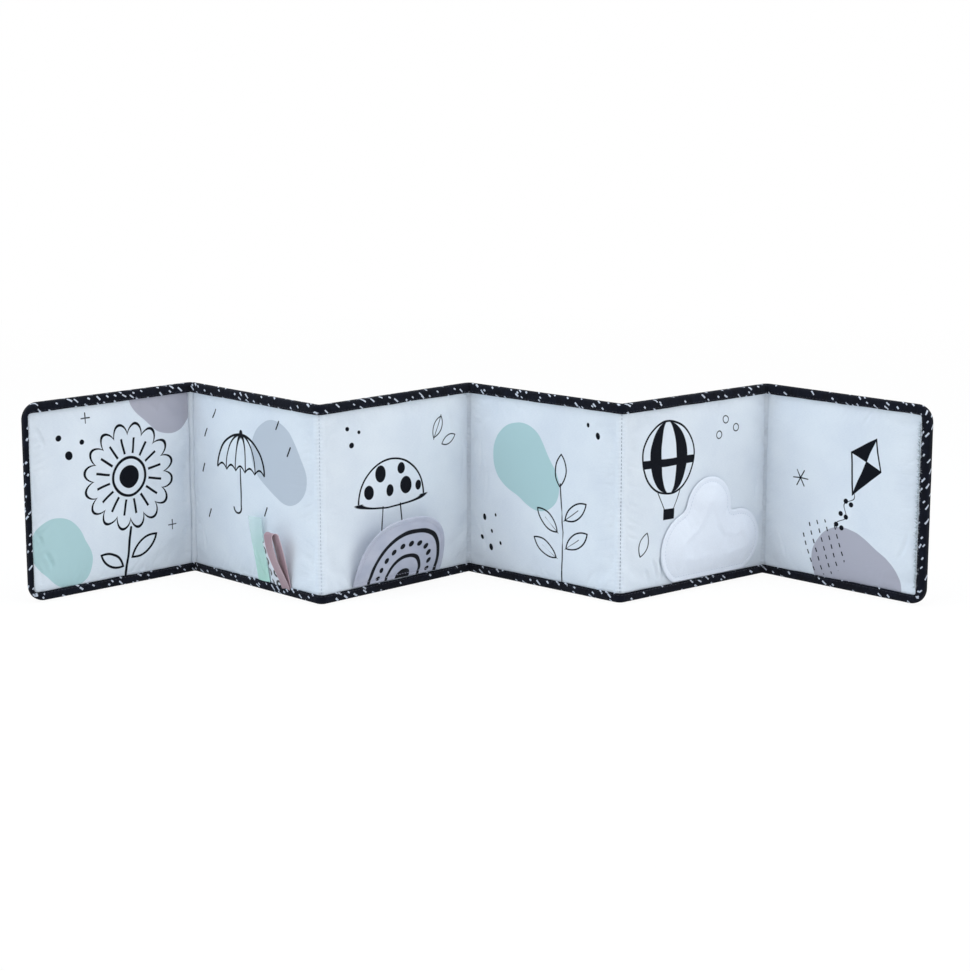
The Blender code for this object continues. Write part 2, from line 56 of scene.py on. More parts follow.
bookShape = {
    "height": 0.165,
    "pitch": 0.162,  # between two folds
    "endLength": 0.165,  # of the first and the last panel
    "cornerRadius": 0.014,
    "headings": (43.3, -45.8, 44.7, -42.2, 39.7, -44.7),  # degrees, left to right
    "axisDepth": 0.0033,  # of a fold's axis from the panel's middle
    "seamDepth": 0.0017,  # half of the cloths where they are sewn
    "crownDepth": 0.0060,  # half of a filled panel
    "tapeLeg": 0.0080,
}

panelCount = len(bookShape["headings"])
foldPlaces = {joint["name"]: Vector(joint["pos_m"]) for joint in frame["joints"]}


def smooth(share):
    share = min(max(share, 0.0), 1.0)
    return share * share * (3 - 2 * share)


def unitAt(degrees):
    return Vector((math.cos(math.radians(degrees)), math.sin(math.radians(degrees))))


def panelLength(index):
    ends = (0, panelCount - 1)
    return bookShape["endLength"] if index in ends else bookShape["pitch"]


def axisDepth(fold):
    return -bookShape["axisDepth"] if fold % 2 == 0 else bookShape["axisDepth"]


def panelFrame(index):
    turned = Matrix.Rotation(math.radians(bookShape["headings"][index]), 4, "Z")
    if index == 0:
        place, local = foldPlaces["fold_1"], Vector((panelLength(0), axisDepth(0), 0))
    else:
        place, local = foldPlaces[f"fold_{index}"], Vector((0, axisDepth(index - 1), 0))
    return Matrix.Translation((place.x, place.y, 0)) @ turned @ Matrix.Translation(-local)


panelFrames = [panelFrame(index) for index in range(panelCount)]


class Wire:
    # one output socket; an expression on it adds its Math nodes
    def __init__(self, board, socket):
        self.board = board
        self.socket = socket

    def math(self, operation, *others, clamp=False):
        settings = {"operation": operation, "use_clamp": clamp}
        return self.board.node("ShaderNodeMath", settings, [self, *others])

    def __add__(self, other):
        return self.math("ADD", other)

    def __sub__(self, other):
        return self.math("SUBTRACT", other)

    def __mul__(self, other):
        return self.math("MULTIPLY", other)

    def __truediv__(self, other):
        return self.math("DIVIDE", other)

    def __rsub__(self, other):
        return self.board.node("ShaderNodeMath", {"operation": "SUBTRACT"}, [other, self])

    def __abs__(self):
        return self.math("ABSOLUTE")

    def max(self, other):
        return self.math("MAXIMUM", other)

    def fraction(self):
        return self.math("FRACT")

    def sine(self):
        return self.math("SINE")

    def times(self, factor, added=None):
        # held between 0 and 1
        if added is None:
            return self.math("MULTIPLY", factor, clamp=True)
        return self.math("MULTIPLY_ADD", factor, added, clamp=True)

    __radd__ = __add__
    __rmul__ = __mul__


class Board:
    # the node tree of one material, or the tree of the owner that is given
    def __init__(self, name, owner=None):
        self.material = owner or bpy.data.materials.new(name)
        self.material.use_nodes = True
        self.tree = self.material.node_tree
        self.tree.nodes.clear()

    def node(self, kind, settings=None, values=None, output=0):
        made = self.tree.nodes.new(kind)
        for name, value in (settings or {}).items():
            if name == "stops":
                ramp = made.color_ramp
                while len(ramp.elements) < len(value):
                    ramp.elements.new(1.0)
                for element, (position, colour) in zip(ramp.elements, value):
                    element.position, element.color = position, colour
            else:
                setattr(made, name, value)
        pairs = values.items() if isinstance(values, dict) else enumerate(values or [])
        for key, value in pairs:
            if isinstance(value, Wire):
                self.tree.links.new(value.socket, made.inputs[key])
            elif value is not None:
                made.inputs[key].default_value = value
        return Wire(self, made.outputs[output]) if made.outputs else None

    def vector(self, operation, *values, output=0):
        return self.node("ShaderNodeVectorMath", {"operation": operation}, list(values), output)

    def mix(self, factor, first, second):
        values = {0: factor, 6: first, 7: second}
        return self.node("ShaderNodeMix", {"data_type": "RGBA"}, values, output=2)

    def place(self, uvMap):
        return self.node("ShaderNodeUVMap", {"uv_map": uvMap})

    def outputs(self, kind, keys, values=None):
        made = self.node(kind, {}, values).socket.node
        return [Wire(self, made.outputs[key]) for key in keys]

    def parts(self, place, count=2):
        return self.outputs("ShaderNodeSeparateXYZ", range(count), [place])

    def stretched(self, place, wide, tall):
        return self.node("ShaderNodeMapping", {}, {0: place, 3: (wide, tall, 1.0)})

    def ramp(self, factor, *stops):
        return self.node("ShaderNodeValToRGB", {"stops": stops}, [factor])

    def atCell(self, cell):
        # the place inside one cell of a pattern, from its middle
        return self.vector("SUBTRACT", self.vector("FRACTION", cell), (0.5, 0.5, 0))

    def noise(self, place, scale, detail=2.0, output=0):
        values = {"Vector": place, "Scale": scale, "Detail": detail}
        return self.node("ShaderNodeTexNoise", {}, values, output)

    def bump(self, height, distance, strength=1.0, normal=None):
        values = {"Height": height, "Distance": distance, "Strength": strength}
        if normal:
            values["Normal"] = normal
        return self.node("ShaderNodeBump", {}, values)

    def finish(self, colour, roughness, normal, specular, sheen, **others):
        values = {
            "Base Color": colour, "Roughness": roughness, "Normal": normal,
            "Specular IOR Level": specular, "Sheen Weight": sheen, **others,
        }
        shader = self.node("ShaderNodeBsdfPrincipled", {}, values)
        self.node("ShaderNodeOutputMaterial", {}, {"Surface": shader})
        return self.material


def paint(red, green, blue):
    # a colour as it is seen, 0 to 255, for a socket that wants it linear
    def linear(level):
        level = level / 255
        return level / 12.92 if level <= 0.04045 else ((level + 0.055) / 1.055) ** 2.4

    return (linear(red), linear(green), linear(blue), 1.0)


def darker(colour, share):
    return tuple(level * share for level in colour[:3]) + (1.0,)


colours = {
    "cotton": paint(233, 240, 247),
    "cottonShade": paint(222, 230, 240),
    "ink": paint(4, 8, 19),
    "mint": paint(181, 213, 216),
    "mauve": paint(180, 180, 192),
    "greyBlue": paint(195, 204, 215),
    "tape": paint(4, 7, 18),
    "tapeSheen": paint(13, 18, 33),
    "tapeDash": paint(212, 219, 232),
    "arch": paint(194, 196, 210),
    "cloud": paint(237, 243, 253),
}


printEdge = 0.00035  # every printed motif is drawn by its distance from a line or a shape


class Print:
    # folds each printed shape into the colour as soon as it is drawn
    def __init__(self, board, place, ground):
        self.board = board
        self.colour = ground
        wander = board.vector("SUBTRACT", board.noise(place, 45.0, 1.0, output=1), (0.5, 0.5, 0.5))
        self.place = board.vector("ADD", place, self.scaled(wander, 0.0022))
        self.inked = None

    def scaled(self, place, scale):
        return self.board.node("ShaderNodeVectorMath", {"operation": "SCALE"}, {0: place, "Scale": scale})

    def solid(self, distance):
        return distance.times(-1 / printEdge, 0.5)

    def stroke(self, distance, width):
        return abs(distance).times(-1 / printEdge, width / 2 / printEdge + 0.5)

    def patch(self, colour, *blob):
        self.colour = self.board.mix(self.solid(self.blob(*blob)), self.colour, colours[colour])

    def ink(self, mask):
        self.inked = mask if self.inked is None else self.inked.max(mask)

    def dab(self, distance):
        self.ink(self.solid(distance))

    def line(self, distance, width):
        self.ink(self.stroke(distance, width))

    def draw(self, width, *ends):
        self.line(self.segment(*ends), width)

    def outline(self, width, *leaf):
        self.line(self.leaf(*leaf), width)

    def dots(self, spots):
        for x, z, radius in spots:
            self.dab(self.circle(x, z, radius))

    def away(self, x, z, place=None):
        return self.board.vector("DISTANCE", place or self.place, (x, z, 0), output=1)

    def about(self, x, z, turn=0.0, wide=1.0, high=1.0):
        # the place seen from a centre, turned, with the given half sizes becoming 1
        values = {0: self.place, 1: (x, z, 0), 2: (0, 0, math.radians(turn)), 3: (wide, high, 1)}
        return self.board.node("ShaderNodeMapping", {"vector_type": "TEXTURE"}, values)

    def local(self, x, z, turn=0.0):
        place = self.about(x, z, turn)
        return place, *self.board.parts(place)

    def circle(self, x, z, radius):
        return self.away(x, z) - radius

    def oval(self, x, z, wide, high, turn=0.0):
        local = self.about(x, z, turn, wide, high)
        length = self.board.vector("LENGTH", local, output=1)
        return (length - 1.0) * min(wide, high)

    def segment(self, x1, z1, x2, z2):
        along = Vector((x2 - x1, z2 - z1, 0))
        offset = self.board.vector("SUBTRACT", self.place, (x1, z1, 0))
        share = self.board.vector("DOT_PRODUCT", offset, tuple(along), output=1)
        foot = self.scaled(tuple(along), share.times(1 / along.length_squared))
        return self.board.vector("DISTANCE", offset, foot, output=1)

    def leaf(self, x, z, length, width, turn):
        # where two equal circles overlap
        half, slim = length / 2, width / 2
        radius = (half * half + slim * slim) / (2 * slim)
        local = self.about(x, z, turn)
        upper = self.away(0, radius - slim, local)
        return upper.max(self.away(0, slim - radius, local)) - radius

    def blob(self, x, z, radius, x2, z2, radius2, blend=0.02):
        near = self.away(x, z) - radius
        far = self.away(x2, z2) - radius2
        return near.math("SMOOTH_MIN", far, blend)

    def done(self):
        if self.inked is None:
            return self.colour
        return self.board.mix(self.inked, self.colour, colours["ink"])


def printFlower(art):
    # panel 1: a daisy on a stem, with a mint and a mauve patch
    art.patch("mint", 0.026, 0.044, 0.024, 0.040, 0.026, 0.020)
    art.patch("mauve", 0.142, 0.150, 0.026, 0.120, 0.160, 0.018)
    local, across, up = art.local(0.098, 0.093)
    angle = up.math("ARCTAN2", across)
    reach = art.board.vector("LENGTH", local, output=1)
    petals = abs((angle * 8.0).sine()).math("POWER", 0.7)
    art.line(reach - (petals * 0.0090 + 0.0355), 0.0024)
    ray = abs((angle * (16 / (2 * math.pi))).fraction() - 0.5) * (2 * math.pi / 16) * reach
    art.ink(art.stroke(ray, 0.0021) * art.solid(0.0195 - reach) * art.solid(reach - 0.0330))
    art.line(reach - 0.0160, 0.0024)
    art.dab(reach - 0.0098)
    art.draw(0.0023, 0.098, 0.050, 0.094, 0.008)
    art.outline(0.0020, 0.112, 0.032, 0.030, 0.012, 35)
    art.outline(0.0020, 0.080, 0.023, 0.026, 0.010, 150)
    art.dots(((0.040, 0.118, 0.0036), (0.053, 0.128, 0.0022), (0.031, 0.133, 0.0026)))
    for x, z in ((0.141, 0.046), (0.058, 0.147)):
        art.draw(0.0011, x - 0.004, z, x + 0.004, z)
        art.draw(0.0011, x, z - 0.004, x, z + 0.004)


def printUmbrella(art):
    # panel 2: an umbrella over a grey-blue patch, and rain
    art.patch("greyBlue", 0.112, 0.118, 0.028, 0.130, 0.100, 0.022)
    x, z, radius = 0.070, 0.098, 0.031
    _, across, up = art.local(x, z)
    upper = art.solid(0.0 - up)
    for share in (1.0, 0.62, 0.22):
        rib = art.oval(x, z, radius * share, radius)
        art.ink(art.stroke(rib, 0.0020 if share == 1.0 else 0.0013) * upper)
    wave = abs((across * (math.pi * 2.5 / radius)).math("COSINE")) * 0.0042
    art.ink(art.stroke(up - wave, 0.0018) * art.solid(abs(across) - radius))
    art.draw(0.0018, x, z + 0.002, x, z - 0.031)
    art.ink(art.stroke(art.circle(x - 0.005, z - 0.031, 0.005), 0.0018) * art.solid(up + 0.031))
    art.dots(((x, z + radius + 0.002, 0.0020),))
    for x, z in ((0.024, 0.128), (0.034, 0.146), (0.020, 0.098), (0.118, 0.146), (0.133, 0.126),
                 (0.028, 0.060), (0.104, 0.072)):
        art.draw(0.0015, x, z, x - 0.003, z - 0.007)


def printToadstool(art):
    # panel 3: a toadstool behind the arch flap
    x, z = 0.070, 0.078
    up = art.local(x, z)[2]
    cap = art.oval(x, z, 0.036, 0.034)
    art.ink(art.stroke(cap, 0.0016) * art.solid(0.0 - up))
    art.ink(art.stroke(art.oval(x, z, 0.036, 0.006), 0.0014) * art.solid(up))
    inside = art.solid(cap) * art.solid(0.0 - up)
    for at, height, size in ((0.045, 0.087, 0.0050), (0.058, 0.101, 0.0058), (0.068, 0.086, 0.0042),
                             (0.081, 0.103, 0.0040), (0.086, 0.088, 0.0062), (0.100, 0.086, 0.0034)):
        art.ink(art.solid(art.oval(at, height, size, size * 1.2)) * inside)
    for side in (-0.010, 0.010):
        art.draw(0.0014, x + side, z - 0.005, x + side * 1.3, z - 0.050)
    art.outline(0.0010, 0.124, 0.132, 0.020, 0.009, 60)
    art.draw(0.0008, 0.119, 0.122, 0.129, 0.142)
    art.outline(0.0010, 0.136, 0.120, 0.016, 0.007, 20)
    art.dots(((0.028, 0.128, 0.0024), (0.036, 0.138, 0.0016), (0.024, 0.142, 0.0018)))


def printSprig(art):
    # panel 4: a leafy sprig before a mint patch, and specks
    art.patch("mint", 0.060, 0.108, 0.030, 0.082, 0.088, 0.022)
    x = 0.104
    art.draw(0.0013, x, 0.008, x + 0.004, 0.052)
    art.draw(0.0012, x + 0.004, 0.052, x + 0.001, 0.092)
    leaves = ((0.088, 0.036, 148), (0.122, 0.046, 34), (0.091, 0.060, 140), (0.121, 0.070, 38),
              (0.105, 0.103, 88))
    for at, height, turn in leaves:
        art.outline(0.0013, at, height, 0.027, 0.0115, turn)
    for at, height, turn in leaves[:4]:
        x, z = unitAt(turn) * 0.010
        art.draw(0.0008, at - x * 1.5, height - z * 1.5, at + x * 0.3, height + z * 0.3)
    for at, height, size in ((0.020, 0.052, 0.0019), (0.028, 0.041, 0.0012), (0.016, 0.034, 0.0015),
                             (0.033, 0.056, 0.0010), (0.026, 0.026, 0.0021), (0.038, 0.032, 0.0012),
                             (0.142, 0.136, 0.0020), (0.132, 0.144, 0.0013)):
        art.dab(art.oval(at, height, size, size * 1.5, 15))


def printBalloon(art):
    # panel 5: a striped balloon that rises behind the cloud flap
    x, z, wide, tall = 0.046, 0.116, 0.028, 0.030
    envelope = art.oval(x, z, wide, tall)
    _, across, up = art.local(x, z)
    body = art.solid(envelope)
    art.line(envelope, 0.0016)
    outer, inner = (art.oval(x, z, wide * share, tall) for share in (0.72, 0.30))
    art.ink(art.solid(outer) * (1.0 - art.solid(inner)) * body)
    art.ink(art.stroke(up + 0.004, 0.0065) * body)
    for side in (-1, 1):
        art.draw(0.0009, x + side * 0.012, z - 0.028, x + side * 0.005, z - 0.043)
    art.dab((abs(across) - 0.0058).max(abs(up + 0.0475) - 0.0045))
    for at, height in ((0.112, 0.140), (0.124, 0.132), (0.104, 0.128)):
        art.line(art.circle(at, height, 0.0030), 0.0009)
    art.outline(0.0010, 0.020, 0.046, 0.020, 0.009, 70)


def printKite(art):
    # panel 6: a kite over a mauve patch with small marks
    art.patch("mauve", 0.086, 0.020, 0.034, 0.112, 0.008, 0.030)
    local, across, up = art.local(0.106, 0.112, -24)
    size = 0.0215
    diamond = abs(across) * 1.35 + abs(up) / (art.solid(up) * 0.45 + 1.0)
    art.line((diamond - size) * 0.62, 0.0015)
    within = art.solid(diamond - size)
    art.ink(art.stroke(across, 0.0009) * within)
    art.ink(art.stroke(up, 0.0009) * within)
    art.ink((across * up).math("LESS_THAN", 0.0) * within)
    tail = (up * 330.0).sine() * 0.0030
    art.ink(art.stroke(across - tail, 0.0009) * (art.solid(up + 0.029) * art.solid(-0.066 - up)))
    for height in (-0.040, -0.052, -0.063):
        for side in (-1, 1):
            art.dab(art.away(side * 0.0028, height, local) - 0.0022)
    x, z = 0.040, 0.090
    for turn in (0, 60, 120):
        wide, tall = unitAt(turn) * 0.0075
        art.draw(0.0011, x - wide, z - tall, x + wide, z + tall)
    wide, tall = 0.0085, 0.0075
    across, up = art.board.parts(art.board.atCell(art.about(0.0, 0.0, 18.0, wide, tall)))
    marks = art.solid(abs(across) * wide - 0.0006) * art.solid(abs(up) * tall - 0.0019)
    art.ink(marks * art.solid(art.oval(0.064, 0.034, 0.024, 0.024)))


panelPrints = (printFlower, printUmbrella, printToadstool, printSprig, printBalloon, printKite)

clothFinish = {
    "threadPitch": 0.00062,
    "weaveDepth": 0.00006,
    "slubDepth": 0.00012,
    "creaseDepth": 0.00187,
    "creaseReach": (0.030, 0.036),  # from a panel's ends, and from its top and bottom
    "pullPitch": 0.0031,  # of the small pulls at a fold's stitches
    "pullReach": 0.0036,
    "roughness": 0.86,
    "sheen": 0.08,
    "specular": 0.08,
}


def clothGround(board, place):
    # the bare cloth's colour: softly uneven, with paler and darker threads
    shade = board.noise(place, 26.0, 3.0) * 0.55
    shade = shade + board.noise(board.stretched(place, 1.0, 9.0), 420.0, 1.0) * 0.45
    return board.ramp(shade, (0.34, colours["cottonShade"]), (0.60, colours["cotton"]))


def clothRelief(board, place, length, ends):
    # weave, slubs, and soft creases that gather beside the seams
    x, z = board.parts(place)
    pitch = 2 * math.pi / clothFinish["threadPitch"]
    normal = board.bump((x * pitch).sine() * (z * pitch).sine(), clothFinish["weaveDepth"], 0.6)
    slubs = board.noise(board.stretched(place, 1.0, 6.0), 260.0, 2.0)
    normal = board.bump(slubs, clothFinish["slubDepth"], 0.8, normal)
    wide, tall = clothFinish["creaseReach"]
    left = (x * -1.0 + (wide + ends[0])).times(45.0)
    sides = left.max((x - (length - wide - ends[1])).times(45.0))
    edges = (z * -1.0 + tall).times(45.0).max((z - (bookShape["height"] - tall)).times(45.0))
    sideways = board.stretched(place, 0.35, 1.6)
    puckers = board.noise(sideways, 105.0, 2.0) * sides
    puckers = puckers + board.noise(board.stretched(place, 1.6, 0.35), 105.0, 2.0) * edges * 0.8
    puckers = puckers + board.noise(sideways, 300.0, 1.0) * sides.times(2.2, -1.2) * 0.16
    creases = board.noise(place, 34.0, 1.5) * 0.6 + puckers * 0.6
    return board.bump(creases, clothFinish["creaseDepth"], 0.6, normal)


def clothFinished(board, colour, normal):
    values = (clothFinish[name] for name in ("specular", "sheen"))
    return board.finish(colour, clothFinish["roughness"], normal, *values, **{"Sheen Roughness": 0.5})


def clothMaterial(name, index=None):
    board = Board(name)
    place = board.place("panelPlace")
    colour = clothGround(board, place)
    if index is not None:
        art = Print(board, place, colour)
        panelPrints[index](art)
        colour = art.done()
    outer = (0.006 if index == 0 else 0.0, 0.006 if index == panelCount - 1 else 0.0)
    return clothFinished(board, colour, clothRelief(board, place, panelLength(index or 1), outer))


def foldMaterial(name):
    # small pulls across the line of stitches, which lies at 0 of the fold's own place
    board = Board(name)
    place = board.place("foldPlace")
    colour = clothGround(board, place)
    across, up = board.parts(place)
    near = (abs(across) * -1.0 + clothFinish["pullReach"]).times(400.0)
    pulls = (up * (2 * math.pi / clothFinish["pullPitch"])).sine() * near
    loose = board.noise(board.stretched(place, 0.5, 1.5), 240.0, 2.0)
    return clothFinished(board, colour, board.bump(pulls * 0.25 + loose, 0.0006, 0.7))


tapeFinish = {
    "cells": (0.0094, 0.0072),  # of the dash pattern, along and across
    "slant": -38.0,  # degrees from the tape's length
    "dashLength": (0.0024, 0.0072),
    "dashWidth": (0.0013, 0.0018),
    "share": 0.50,  # of the cells that hold a dash
    "layers": 2,
    "ribPitch": 0.0007,
    "roughness": 0.90,
}


def dashLayer(board, place, layer):
    # one dash in some of the cells: each cell's three random numbers set its place, turn and size
    wide, tall = tapeFinish["cells"]
    (shortest, longest), (slimmest, widest) = tapeFinish["dashLength"], tapeFinish["dashWidth"]
    moved = board.vector("ADD", place, (0.0047 * layer, 0.0036 * layer, 0))
    along, up = board.parts(board.vector("DIVIDE", moved, (wide, tall, 1.0)))
    along = along + (up.math("FLOOR") * 0.37).fraction()
    cell = board.node("ShaderNodeCombineXYZ", {}, [along, up, 7.0 * layer])
    corner = board.vector("FLOOR", cell)
    chance = board.node("ShaderNodeTexWhiteNoise", {"noise_dimensions": "3D"}, {0: corner}, output=1)
    first, second, third = board.parts(chance, 3)
    inside = board.vector("SUBTRACT", board.vector("SUBTRACT", cell, corner), (0.5, 0.5, 0))
    jitter = board.node("ShaderNodeCombineXYZ", {}, [first * 0.44 - 0.22, second * 0.5 - 0.25, 0.0])
    inside = board.vector("MULTIPLY", board.vector("SUBTRACT", inside, jitter), (wide, tall, 0))
    turn = (third * 0.36 - 0.18) - math.radians(tapeFinish["slant"])
    turned = board.node("ShaderNodeVectorRotate", {"rotation_type": "Z_AXIS"}, {0: inside, "Angle": turn})
    along, across = board.parts(turned)
    half = (third * 3.7).fraction().math("POWER", 1.6) * ((longest - shortest) / 2) + shortest / 2
    slim = first * ((widest - slimmest) / 2) + slimmest / 2
    kept = (third * 7.13).fraction().math("LESS_THAN", tapeFinish["share"])
    return (half - abs(along)).times(3000.0) * (slim - abs(across)).times(4500.0) * kept


def tapeMaterial(name):
    board = Board(name)
    place = board.place("tapePlace")
    dashes = dashLayer(board, place, 0)
    for layer in range(1, tapeFinish["layers"]):
        dashes = dashes.max(dashLayer(board, place, layer))
    dashes = dashes * (board.noise(place, 900.0, 2.0) * 0.5 + 0.66)
    ground = board.ramp(board.noise(place, 120.0, 3.0), (0.35, colours["tape"]), (0.75, colours["tapeSheen"]))
    u, v = board.parts(place)
    ribs = ((u + v) * (2 * math.pi / tapeFinish["ribPitch"])).sine()
    puckers = board.noise(board.stretched(place, 1.0, 0.22), 330.0, 1.0)
    normal = board.bump(puckers, 0.0007, 0.7, board.bump(ribs, 0.00008, 0.6))
    colour = board.mix(dashes, ground, colours["tapeDash"])
    return board.finish(colour, tapeFinish["roughness"], normal, 0.12, 0.03, **{"Sheen Roughness": 0.6})


def plainMaterial(name, colour, roughness, depth=0.00015, scale=700.0, sheen=0.2, specular=0.2, varied=0.10):
    # cloth, thread or wadding in one colour, uneven in tone and surface
    board = Board(name)
    grain = board.noise(board.node("ShaderNodeTexCoord", {}, {}, output=3), scale, 3.0)
    tone = board.ramp(grain, (0.3, darker(colour, 1 - varied)), (0.7, colour))
    return board.finish(tone, roughness, board.bump(grain, depth, 0.7), specular, sheen)


coverShape = {
    "cell": 0.0040,
    "foldEdges": (0.0013, 0.0008, 0.0005, 0.0008, 0.0005),  # of the cloths' edges from each fold
    "foldMargin": 0.0014,  # flat cloth beside a fold
    "tapeMargin": 0.0067,
    "endMargin": 0.0023,  # under the narrow front of the tape at the left end
    "inset": 0.0016,  # of the cloth's edge inside the tape
    "softRise": 0.12,  # of the way to the middle, where the cloth rises gently
    "crowding": 0.33,  # the share of the crown that the wadding keeps right beside a fold's hollow
    "startFill": 0.70,  # the share of the full crown before it is blown up
    "slack": 0.00035,  # of the blown cloth over the full crown
    "dip": 0.86,  # of the sewn cloth beside a fold's hollow
}
creases = {
    "edges": {"end": 0.0014, "hollow": 0.0008, "ridge": 0.0008, "tape": 0.0009},  # their depth beside each
    "apart": 0.009,
    "slant": 0.45,
    "length": 0.013,
    "start": 0.003,  # from the seam
    "half": 0.0017,  # the width of each of the marked ones, from its middle
    "groove": (0.0020, 0.0036),  # depth and width of the one beside each end tape
}
markedCreases = {  # (x, z, x, z, depth) of the deeper ones on each panel's front
    0: ((0.004, 0.150, 0.018, 0.126, 0.0021), (0.004, 0.060, 0.014, 0.044, 0.0018),
        (0.004, 0.034, 0.012, 0.012, 0.0021), (0.014, 0.042, 0.022, 0.024, 0.0014)),
    1: ((0.012, 0.050, 0.016, 0.016, 0.0007),),
    2: ((0.148, 0.136, 0.151, 0.070, 0.0006), (0.134, 0.150, 0.140, 0.122, 0.0005)),
    3: ((0.012, 0.128, 0.010, 0.074, 0.0008), (0.021, 0.104, 0.018, 0.060, 0.0006),
        (0.010, 0.050, 0.020, 0.018, 0.0006)),
    4: ((0.036, 0.034, 0.043, 0.011, 0.0019), (0.028, 0.034, 0.036, 0.011, 0.0018),
        (0.021, 0.026, 0.027, 0.011, 0.0014), (0.149, 0.110, 0.146, 0.060, 0.0008)),
    5: ((0.014, 0.046, 0.024, 0.014, 0.0008), (0.148, 0.060, 0.138, 0.034, 0.0006)),
}


def riseShare(place, low, high):
    middle, half = (low + high) / 2, (high - low) / 2
    share = min(max(1 - abs(place - middle) / half, 0.0), 1.0)
    return 1 - (1 - share) ** 3


def hollowSide(fold):
    # -1 where the fold closes towards the front
    return -1 if axisDepth(fold) < 0 else 1


def inHollow(index, atLow, side):
    # whether one end of a panel lies in a fold's hollow on that side
    fold = index - 1 if atLow else index
    return 0 <= fold < panelCount - 1 and hollowSide(fold) == side


def endRise(index, x, low, high, side):
    # how far the cloth has swelled on its way in from the nearer end
    atLow = x < (low + high) / 2
    gap = x - low if atLow else high - x
    share = min(max(gap / (high - low) * 2, 0.0), 1.0)
    if (index, atLow) in ((0, True), (panelCount - 1, False)):
        return 1 - (1 - share) ** 3
    if inHollow(index, atLow, side):
        return 1 - (1 - coverShape["crowding"]) * (1 - share) ** 3
    return (1 - (1 - share) ** 3) * smooth(share / coverShape["softRise"])


def panelEdges(index, side=1):
    first, last = index == 0, index == panelCount - 1
    low = coverShape["inset"] if first else coverShape["foldEdges"][index - 1]
    high = panelLength(index) - (coverShape["inset"] if last else coverShape["foldEdges"][index])
    lowMargin = coverShape["tapeMargin" if side > 0 else "endMargin"] if first else coverShape["foldMargin"]
    highMargin = coverShape["tapeMargin"] if last else coverShape["foldMargin"]
    return low, high, lowMargin, highMargin


def coverDepth(index, x, z, fill=1.0, side=-1):
    low, high, lowMargin, highMargin = panelEdges(index, side)
    bottom = coverShape["inset"] + coverShape["tapeMargin"]
    swell = endRise(index, x, low + lowMargin, high - highMargin, side)
    swell *= riseShare(z, bottom, bookShape["height"] - bottom)
    full = bookShape["crownDepth"] - bookShape["seamDepth"]
    return bookShape["seamDepth"] + full * swell * fill


def spread(low, high, lowMargin, highMargin):
    # grid lines: two at each sewn edge and even ones between
    start, end = low + lowMargin, high - highMargin
    count = round((end - start) / coverShape["cell"])
    inner = [start + (end - start) * n / count for n in range(count + 1)]
    return [low, low + lowMargin / 2, *inner, high - highMargin / 2, high]


def roundCorner(index, x, z):
    outer = bookShape["cornerRadius"]
    radius, middle = outer - coverShape["inset"], bookShape["height"] / 2
    over = abs(z - middle) - (middle - outer)
    if index == 0:
        past = outer - x
    elif index == panelCount - 1:
        past = x - (panelLength(index) - outer)
    else:
        return x, z
    if past <= 0 or over <= 0:
        return x, z
    across, upward = past / radius, over / radius
    moved = radius * across * math.sqrt(max(1 - upward**2 / 2, 0))
    lifted = radius * upward * math.sqrt(max(1 - across**2 / 2, 0))
    x = outer - moved if index == 0 else panelLength(index) - outer + moved
    return x, middle + math.copysign(middle - outer + lifted, z - middle)


def newPiece(name, verts, faces, materials, uvName, uvs, smoothAngle=60, faceMaterials=None):
    mesh = bpy.data.meshes.new(name)
    mesh.from_pydata([tuple(v) for v in verts], [], faces)
    for finish in materials:
        mesh.materials.append(finish)
    if faceMaterials is not None:
        mesh.polygons.foreach_set("material_index", faceMaterials)
    layer = mesh.uv_layers.new(name=uvName)
    loops = np.zeros(len(mesh.loops), np.int32)
    mesh.loops.foreach_get("vertex_index", loops)
    layer.data.foreach_set("uv", np.array(uvs, np.float32)[loops].ravel())
    mesh.shade_smooth()
    mesh.set_sharp_from_angle(angle=math.radians(smoothAngle))
    mesh.update()
    item = bpy.data.objects.new(name, mesh)
    bpy.context.scene.collection.objects.link(item)
    return item


def turnOut(item):
    bm = bmesh.new()
    bm.from_mesh(item.data)
    bmesh.ops.recalc_face_normals(bm, faces=bm.faces)
    bm.to_mesh(item.data)
    bm.free()


def pillow(name, places, faces, rim, depthAt, sewn, cloths, uvName):
    # two cloths over the same flat net, joined at its rim; what is sewn stays put when it is blown up
    verts, uvs, pins, keys = [], [], [], {}
    for side in (-1, 1):
        for n, (x, z) in enumerate(places):
            if n in rim and side == 1:
                keys[side, n] = keys[-1, n]
                continue
            keys[side, n] = len(verts)
            if n in sewn:
                pins.append(len(verts))
            verts.append((x, depthAt(n, side), z))
            uvs.append((x, z))
    rings = [[keys[side, n] for n in face[::-side]] for side in (-1, 1) for face in faces]
    marks = [0] * len(faces) + [1] * len(faces)
    item = newPiece(name, verts, rings, cloths, uvName, uvs, 60, marks)
    item.vertex_groups.new(name="sewn").add(pins, 1.0, "REPLACE")
    return item


def ringFaces(count, rings):
    # the faces of a tube whose rings of count points follow each other
    return [
        [n * count + m, n * count + (m + 1) % count, (n + 1) * count + (m + 1) % count, (n + 1) * count + m]
        for n in range(rings - 1) for m in range(count)
    ]


